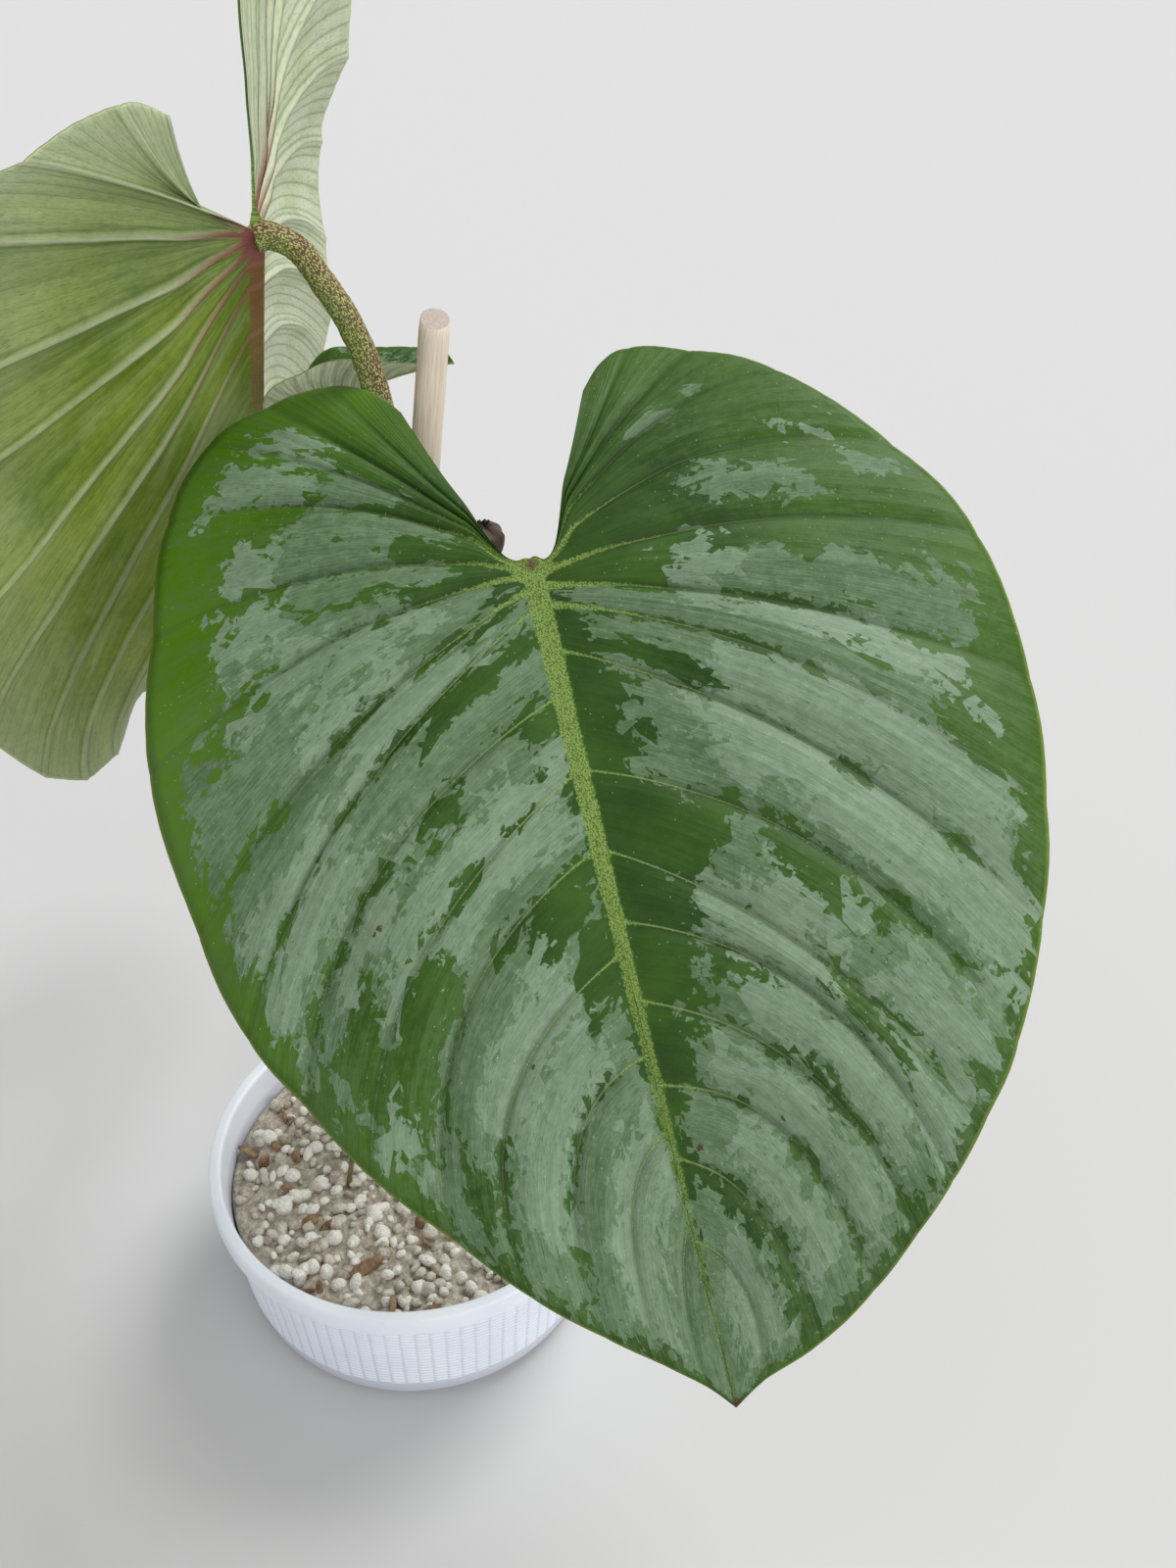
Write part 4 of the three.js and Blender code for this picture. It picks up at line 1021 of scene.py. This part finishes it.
SHEATH_PATH = [[10, 47, 161.5], [14.5, 53.5, 180], [20.5, 58.5, 204], [25, 59.5, 224], [26, 60, 231]]
SHEATH_RADIUS = 4.4
SHEATH_TURN = (0.5, 5.2)
SHEATH_SKIN = 0.45
SHEATH_LEAN = np.array([1.3, 0.0, 0.6])
SHEATH_FLARE = 2.2
SHEATH_PINCH = 3.8
SHEATH_RAGGED = 0.7


def make_sheath(materials):
    # A brittle sheet rolled most of the way round, ragged and torn at its upper end
    rings, sides = 150, 64
    centres, ways, run = smooth_path(SHEATH_PATH, rings)
    across, over = carried_frames(ways)
    share = np.linspace(0, 1, rings)[:, None]
    centres = centres - SHEATH_LEAN * smooth(0.75, 1.0, share)
    angle = SHEATH_TURN[0] + (SHEATH_TURN[1] - SHEATH_TURN[0]) * np.linspace(0, 1, sides)[None, :]
    angle = angle + 0.25 * np.sin(5 * share) * np.linspace(-1, 1, sides)[None, :]
    straight = round_points(SHEATH_RADIUS, angle, run[:, None])
    wrinkles = 0.45 * lumps(straight * np.array([1, 1, 0.25]), 1.5, 51) + 0.3 * lumps(straight, 4.0, 52)
    radius = (SHEATH_RADIUS - 0.4 + wrinkles + SHEATH_FLARE * smooth(0.8, 0.93, share)
              - SHEATH_PINCH * smooth(0.955, 1.0, share) ** 2)
    torn = SHEATH_RAGGED * lumps(points(angle * 2.2, 0.0, 0.0), 0.6, 53)
    slide = torn * smooth(0.9, 1.0, share)
    layers = []
    for inward in (0.0, SHEATH_SKIN):
        r_here = radius - inward
        layers.append(centres[:, None] + ways[:, None] * slide[..., None]
                      + across[:, None] * (r_here * np.cos(angle))[..., None]
                      + over[:, None] * (r_here * np.sin(angle))[..., None])
    count = rings * sides
    outer = np.arange(count).reshape(rings, sides)
    inner = outer + count
    rims = [grid_faces(np.stack(pair, 1)) for pair in (
        (outer[0], inner[0]), (inner[-1], outer[-1]),
        (inner[:, 0], outer[:, 0]), (outer[:, -1], inner[:, -1]))]
    faces = np.vstack([grid_faces(outer)[:, ::-1], grid_faces(inner)] + rims)
    places = np.vstack([layer.reshape(-1, 3) for layer in layers])
    labels = np.vstack([straight.reshape(-1, 3)] * 2)
    return new_piece("cataphyll_sheath", places, faces, materials, "cataphyll",
                     {"straight": labels})


def sheath_finish():
    # Dark brown papery fibres with paler patches
    material, r = new_material("dried sheath")
    straight = r.attribute("straight")
    fibres = r.noise(r.scaled(straight, 2.6, 2.6, 0.16), 1.0, 4.0, 0.6)
    patches = r.remap(r.noise(straight, 0.22, 3.0), 0.42, 0.62)
    colour = r.blend(r.remap(fibres, 0.36, 0.64), paint(46, 36, 32), paint(98, 82, 72))
    colour = r.cover(colour, paint(132, 116, 100), patches, 0.4)
    normal = r.bump(fibres, 0.7, 0.0006)
    finish_material(r, colour, r.remap(fibres, 0.3, 0.7, 0.85, 0.62), normal, 0.35)
    return material


make_sheath((sheath_finish(),))


# Pot

POT_HEIGHT = 50.0
RIM_RADIUS = 61.5
RIM_WIDTH = 3.8
RIM_DEPTH = 6.6
WALL = 2.0
BASE_RADIUS = 50.0
FOOT_RADIUS = 54.0
FOOT_HEIGHT = 2.5
CORNER_RADIUS = 55.5
CORNER_HEIGHT = 9.0
COLUMNS = 84
COLUMN_STEPS = 7
LOOP_PITCH = 1.6
LOOP_STEPS = 5
LOOP_RELIEF = 0.6
LOOP_MIDDLE = 0.75
LOOP_IN_GAPS = 0.6
DRAIN_HOLES = 5
DRAIN_RADIUS = 4.0
DRAIN_RING = 27.0


def rounded(outline, radii, steps=6):
    # The outline with its corners rounded off by the radius given for each
    run = []
    for before, corner, after, radius in zip(outline, outline[1:], outline[2:], radii):
        corner = np.array(corner, float)
        way_in = unit(np.array(before, float) - corner)
        way_out = unit(np.array(after, float) - corner)
        a, b = corner + way_in * radius, corner + way_out * radius
        for t in np.linspace(0, 1, steps):
            run.append((1 - t) ** 2 * a + 2 * t * (1 - t) * corner + t ** 2 * b)
    return [np.array(outline[0], float)] + run + [np.array(outline[-1], float)]


def pot_outline():
    # The pot's outline in three stretches: foot, outer wall, then the rim and down the inside
    under_rim = POT_HEIGHT - RIM_DEPTH
    wall_top = RIM_RADIUS - RIM_WIDTH + 1
    foot = rounded([(BASE_RADIUS - 3, 0), (BASE_RADIUS, 0), (FOOT_RADIUS, FOOT_HEIGHT),
                    (CORNER_RADIUS, CORNER_HEIGHT)], [1.2, 2.0])[:-1]
    rows = int(round((under_rim - CORNER_HEIGHT) / LOOP_PITCH)) * LOOP_STEPS
    t = np.linspace(0, 1, rows + 1)
    wall = np.stack([CORNER_RADIUS + (wall_top - CORNER_RADIUS) * t,
                     CORNER_HEIGHT + (under_rim - CORNER_HEIGHT) * t], 1)
    inside = rounded([(wall_top, under_rim), (RIM_RADIUS, under_rim), (RIM_RADIUS, POT_HEIGHT),
                      (RIM_RADIUS - RIM_WIDTH, POT_HEIGHT), (CORNER_RADIUS - WALL, CORNER_HEIGHT),
                      (BASE_RADIUS - 1, WALL), (BASE_RADIUS - 3, WALL)], [0.6, 1.3, 1.2, 4, 1.0])[1:]
    return foot, wall, inside


def woven_loops(rows, segments):
    # Height of the loops, 0 to 1, stacked in columns that stand half a loop apart, and how far
    # the weave has faded out at its two ends
    t = np.linspace(0, 1, rows)
    step = np.arange(segments)[None, :]
    loops = np.arange(rows)[:, None] / LOOP_STEPS + 0.5 * (step // COLUMN_STEPS % 2)
    column = np.abs((step / COLUMN_STEPS) % 1 - 0.5) * 2
    across = np.clip(1 - column ** 7, 0, 1) ** 0.6
    along = np.clip(1 - np.abs((loops % 1 - 0.5) * 2) ** 1.6, 0, 1) ** 0.8
    ends = smooth(0, 0.04, t)[:, None] * smooth(1, 0.985, t)[:, None]
    return along * (LOOP_IN_GAPS + (1 - LOOP_IN_GAPS) * across) * ends, ends


def make_pot_wall(materials):
    foot, wall, inside = pot_outline()
    outline = np.vstack([foot, wall, inside])
    segments = COLUMNS * COLUMN_STEPS
    angle = np.linspace(0, 2 * math.pi, segments, endpoint=False)
    radius = outline[:, :1] + 0 * angle[None, :]
    height = outline[:, 1:] + 0 * angle[None, :]
    woven = slice(len(foot), len(foot) + len(wall))
    loops, ends = woven_loops(len(wall), segments)
    radius[woven] += (loops - LOOP_MIDDLE) * LOOP_RELIEF * ends
    pattern = np.zeros_like(radius)
    pattern[woven] = loops
    radius = radius + 0.06 * lumps(round_points(radius, angle, height), 9.0, 61)
    places = round_points(radius, angle, height)
    index = np.arange(radius.size).reshape(radius.shape)
    faces = grid_faces(index, close=True)[:, ::-1]
    weave = points(pattern, height / POT_HEIGHT, 0.0)
    return new_piece("pot_wall", places.reshape(-1, 3), faces, materials, "pot",
                     {"weave": weave.reshape(-1, 3)})


def make_pot_base(materials):
    # The flat base with its drain holes: five wedges, each a band round its hole
    places, faces = [], []
    outer_radius = BASE_RADIUS - 2
    steps = 24
    half = math.pi / DRAIN_HOLES
    for wedge in range(DRAIN_HOLES):
        middle = 2 * math.pi * wedge / DRAIN_HOLES
        centre = np.array([math.cos(middle), math.sin(middle)]) * DRAIN_RING
        edge = [np.array([0.0, 0.0])]
        edge += [outer_radius * np.array([math.cos(a), math.sin(a)])
                 for a in np.linspace(middle - half, middle + half, steps)]
        bearing = [math.atan2(*(p - centre)[::-1]) for p in edge]
        hole = [centre + DRAIN_RADIUS * np.array([math.cos(b), math.sin(b)]) for b in bearing]
        for level in (0.0, WALL):
            start = len(places)
            for ring in (edge, hole):
                places += [[p[0], p[1], level] for p in ring]
            count = len(edge)
            for i in range(count):
                j = (i + 1) % count
                face = [start + i, start + count + i, start + count + j, start + j]
                faces.append(face if level == 0 else face[::-1])
        low, high = start - 2 * count, start
        for i in range(count):
            j = (i + 1) % count
            faces.append([low + count + i, high + count + i, high + count + j, low + count + j])
    labels = np.zeros((len(places), 3))
    return new_piece("pot_base", places, faces, materials, "pot", {"weave": labels}, flat=True)


def pot_finish():
    # Pale moulded plastic with a faint mottle, painted shade in the hollows between the loops, and more
    # painted shade low in the weave
    material, r = new_material("moulded pot")
    weave, level = r.parts(r.attribute("weave"))[:2]
    place = r.add("ShaderNodeTexCoord", output="Object")
    mottle = r.noise(place, 60.0, 3.0)
    colour = r.blend(r.remap(mottle, 0.35, 0.65), paint(228, 234, 246), paint(236, 241, 250))
    # Painted shade in the hollows between the loops, below the rim band
    between = r.times(r.remap(weave, 0.75, 0.15), r.remap(level, 0.84, 0.8, 0.0, 0.55))
    colour = r.blend(between, colour, paint(186, 188, 204))
    # Painted shade, deeper towards the bottom of the hollows in the weave
    low = r.times(r.remap(level, 0.75, 0.1), r.remap(weave, 0.7, 0.2))
    colour = r.cover(colour, paint(176, 178, 190), low, 0.35)
    specks = r.use(SPECKS, {"Vector": place, "Scale": 160.0, "Size": 0.07})["Mask"]
    colour = r.cover(colour, paint(150, 146, 140), specks, 0.5)
    scuffs = r.noise(r.scaled(place, 40.0, 40.0, 400.0), 1.0, 3.0)
    roughness = r.remap(scuffs, 0.35, 0.7, 0.34, 0.5)
    normal = r.bump(r.noise(place, 900.0, 2.0), 0.12, 0.0002)
    finish_material(r, colour, roughness, normal)
    return material


POT = pot_finish()
make_pot_wall((POT,))
make_pot_base((POT,))


# Potting mix

MIX_TOP = 39.0
MIX_EDGE_DROP = 1.5
MIX_FLOOR = WALL + 0.4
MIX_GAP = 0.7
CRUMBS = 620

# How common each kind of crumb is, in the order of their finishes: coir, perlite, bark and pumice
CRUMB_SHARES = (0.12, 0.5, 0.08, 0.3)
BARK = 2


def mix_surface(x, y):
    # Height of the mix, in low swells
    return MIX_TOP + 0.8 * np.sin(0.16 * x + 1) * np.cos(0.14 * y) + 0.5 * np.sin(0.31 * x - 0.27 * y)


def crumb_shapes():
    # One round ball of triangles to squeeze and roughen into every crumb
    ball = bmesh.new()
    bmesh.ops.create_icosphere(ball, subdivisions=2, radius=1.0)
    corners = np.array([v.co[:] for v in ball.verts])
    faces = np.array([[v.index for v in f.verts] for f in ball.faces])
    ball.free()
    return corners, faces


def make_mix(materials):
    # A closed body of mix that fills the pot, with crumbs of four kinds spread over its top
    slope = (RIM_RADIUS - RIM_WIDTH - CORNER_RADIUS + WALL) / (POT_HEIGHT - CORNER_HEIGHT)
    top_radius = CORNER_RADIUS - WALL + slope * (MIX_TOP - MIX_EDGE_DROP - CORNER_HEIGHT) - MIX_GAP
    rings, sectors = 44, 132
    share = np.linspace(1, 0.02, rings)[:, None]
    angle = np.linspace(0, 2 * math.pi, sectors, endpoint=False)[None, :]
    x = top_radius * share * np.cos(angle)
    y = top_radius * share * np.sin(angle)
    edge = smooth(0.975, 1.0, share)
    flat = points(x, y, 0.0)
    rough = 1.1 * warts(flat, 3.2, 71) + 0.8 * lumps(flat, 1.6, 72)
    z = (mix_surface(x, y) - 1.6 + rough) * (1 - edge) + (MIX_TOP - MIX_EDGE_DROP) * edge
    low = ((0.5, MIX_FLOOR), (BASE_RADIUS - 2, MIX_FLOOR), (CORNER_RADIUS - WALL - MIX_GAP, CORNER_HEIGHT))
    skirt = [round_points(out, angle[0], up) for out, up in low]
    places = np.concatenate(skirt + [points(x, y, z).reshape(-1, 3)])
    ring_count = len(skirt) + rings
    index = np.arange(ring_count * sectors).reshape(ring_count, sectors)
    faces = [list(f) for f in grid_faces(index, close=True)[:, ::-1]]
    faces.append(list(index[-1]))
    faces.append(list(index[0])[::-1])
    kinds = [0] * len(faces)
    blocks = [places]
    start = len(places)
    corners, ball_faces = crumb_shapes()
    random = np.random.default_rng(7)
    axis = unit(STAKE_TOP - STAKE_FOOT)
    for i in range(CRUMBS):
        radius = (top_radius - 2.5) * math.sqrt((i + 0.5) / CRUMBS)
        turn = i * math.pi * (3 - math.sqrt(5)) + random.uniform(-0.1, 0.1)
        spot = np.array([radius * math.cos(turn), radius * math.sin(turn)])
        kind = random.choice(len(CRUMB_SHARES), p=CRUMB_SHARES)
        big = random.uniform(1.6, 3.6) if kind == BARK else random.uniform(1.1, 2.6)
        shape = random.uniform(0.6, 1.15, 3)
        if kind == BARK:
            shape = np.array([1.5, 0.75, 0.38]) * random.uniform(0.8, 1.2, 3)
        turned = np.linalg.qr(random.normal(size=(3, 3)))[0]
        level = mix_surface(*spot) - 0.3 + random.uniform(-0.9, 0.7)
        near_stake = STAKE_FOOT + axis * (level - STAKE_FOOT[2]) / axis[2]
        if np.linalg.norm(near_stake[:2] - spot) < STAKE_RADIUS + 1.2 * big:
            continue
        local = corners * shape
        local = local * (1 + 0.28 * lumps(corners + i, 0.8, 73 + i)[:, None])
        blocks.append(local @ turned.T * big + np.array([spot[0], spot[1], level]))
        faces += (ball_faces + start).tolist()
        kinds += [kind] * len(ball_faces)
        start += len(corners)
    return new_piece("potting_mix_crumbs", np.vstack(blocks), faces, materials, "potting_mix",
                     face_material=kinds)


def crumb_finish(name, light, dark, scale, roughness):
    # Lumpy and dull, darker in the pits
    material, r = new_material(name)
    place = r.add("ShaderNodeTexCoord", output="Object")
    lumpy = r.noise(place, scale, 4.0, 0.6)
    grains = r.use(GRAINS, {"Vector": place, "Scale": scale * 2})
    colour = r.blend(r.remap(lumpy, 0.36, 0.64), dark, light)
    colour = r.cover(colour, dark, grains["Gaps"], 0.35)
    normal = r.bump(r.plus(lumpy, r.times(grains["Height"], 0.5)), 0.8, 0.0007)
    rough = r.remap(lumpy, 0.3, 0.7, roughness, roughness - 0.12)
    finish_material(r, colour, rough, normal, 0.3)
    return material


make_mix((crumb_finish("dusty coir", paint(204, 197, 184), paint(150, 139, 124), 420.0, 0.95),
          crumb_finish("perlite", paint(246, 244, 238), paint(226, 222, 212), 700.0, 0.9),
          crumb_finish("bark chips", paint(168, 142, 112), paint(112, 86, 62), 300.0, 0.85),
          crumb_finish("pumice", paint(222, 216, 204), paint(188, 180, 166), 600.0, 0.92)))


# Floor, light and camera

CAMERA_PLACE = (0.053, -0.3241, 0.4531)
CAMERA_DOWN = 39
SENSOR_WIDTH = 36.0
LENS = 38.25


def make_floor():
    bpy.ops.mesh.primitive_plane_add(size=8.0, location=(0, 1.0, 0))
    floor = bpy.context.object
    floor.name = "floor"
    material, r = new_material("floor")
    finish_material(r, paint(206, 206, 206), 0.9, gloss=0.1)
    floor.data.materials.append(material)


def add_sun(name, from_way, strength, softness):
    # Even light from one direction; softness is the angle in degrees that it fills
    light = bpy.data.lights.new(name, "SUN")
    light.energy = strength
    light.angle = math.radians(softness)
    lamp = bpy.data.objects.new(name, light)
    lamp.rotation_euler = (-Vector(from_way)).to_track_quat("-Z", "Y").to_euler()
    bpy.context.scene.collection.objects.link(lamp)


make_floor()
add_sun("window light", (0.42, 0.45, 0.79), 2.0, 30.0)
add_sun("front light", (0.6, -0.7, 0.3), 1.3, 60.0)

world = bpy.data.worlds.new("studio")
world.use_nodes = True
background = world.node_tree.nodes["Background"]
background.inputs["Color"].default_value = (1.0, 1.0, 1.0, 1.0)
background.inputs["Strength"].default_value = 0.6
bpy.context.scene.world = world
bpy.context.scene.view_settings.view_transform = "Standard"

camera_data = bpy.data.cameras.new("camera")
camera_data.sensor_width = SENSOR_WIDTH
camera_data.lens = LENS
camera = bpy.data.objects.new("camera", camera_data)
camera.location = CAMERA_PLACE
camera.rotation_euler = (math.radians(90 - CAMERA_DOWN), 0, 0)
bpy.context.scene.collection.objects.link(camera)
bpy.context.scene.camera = camera
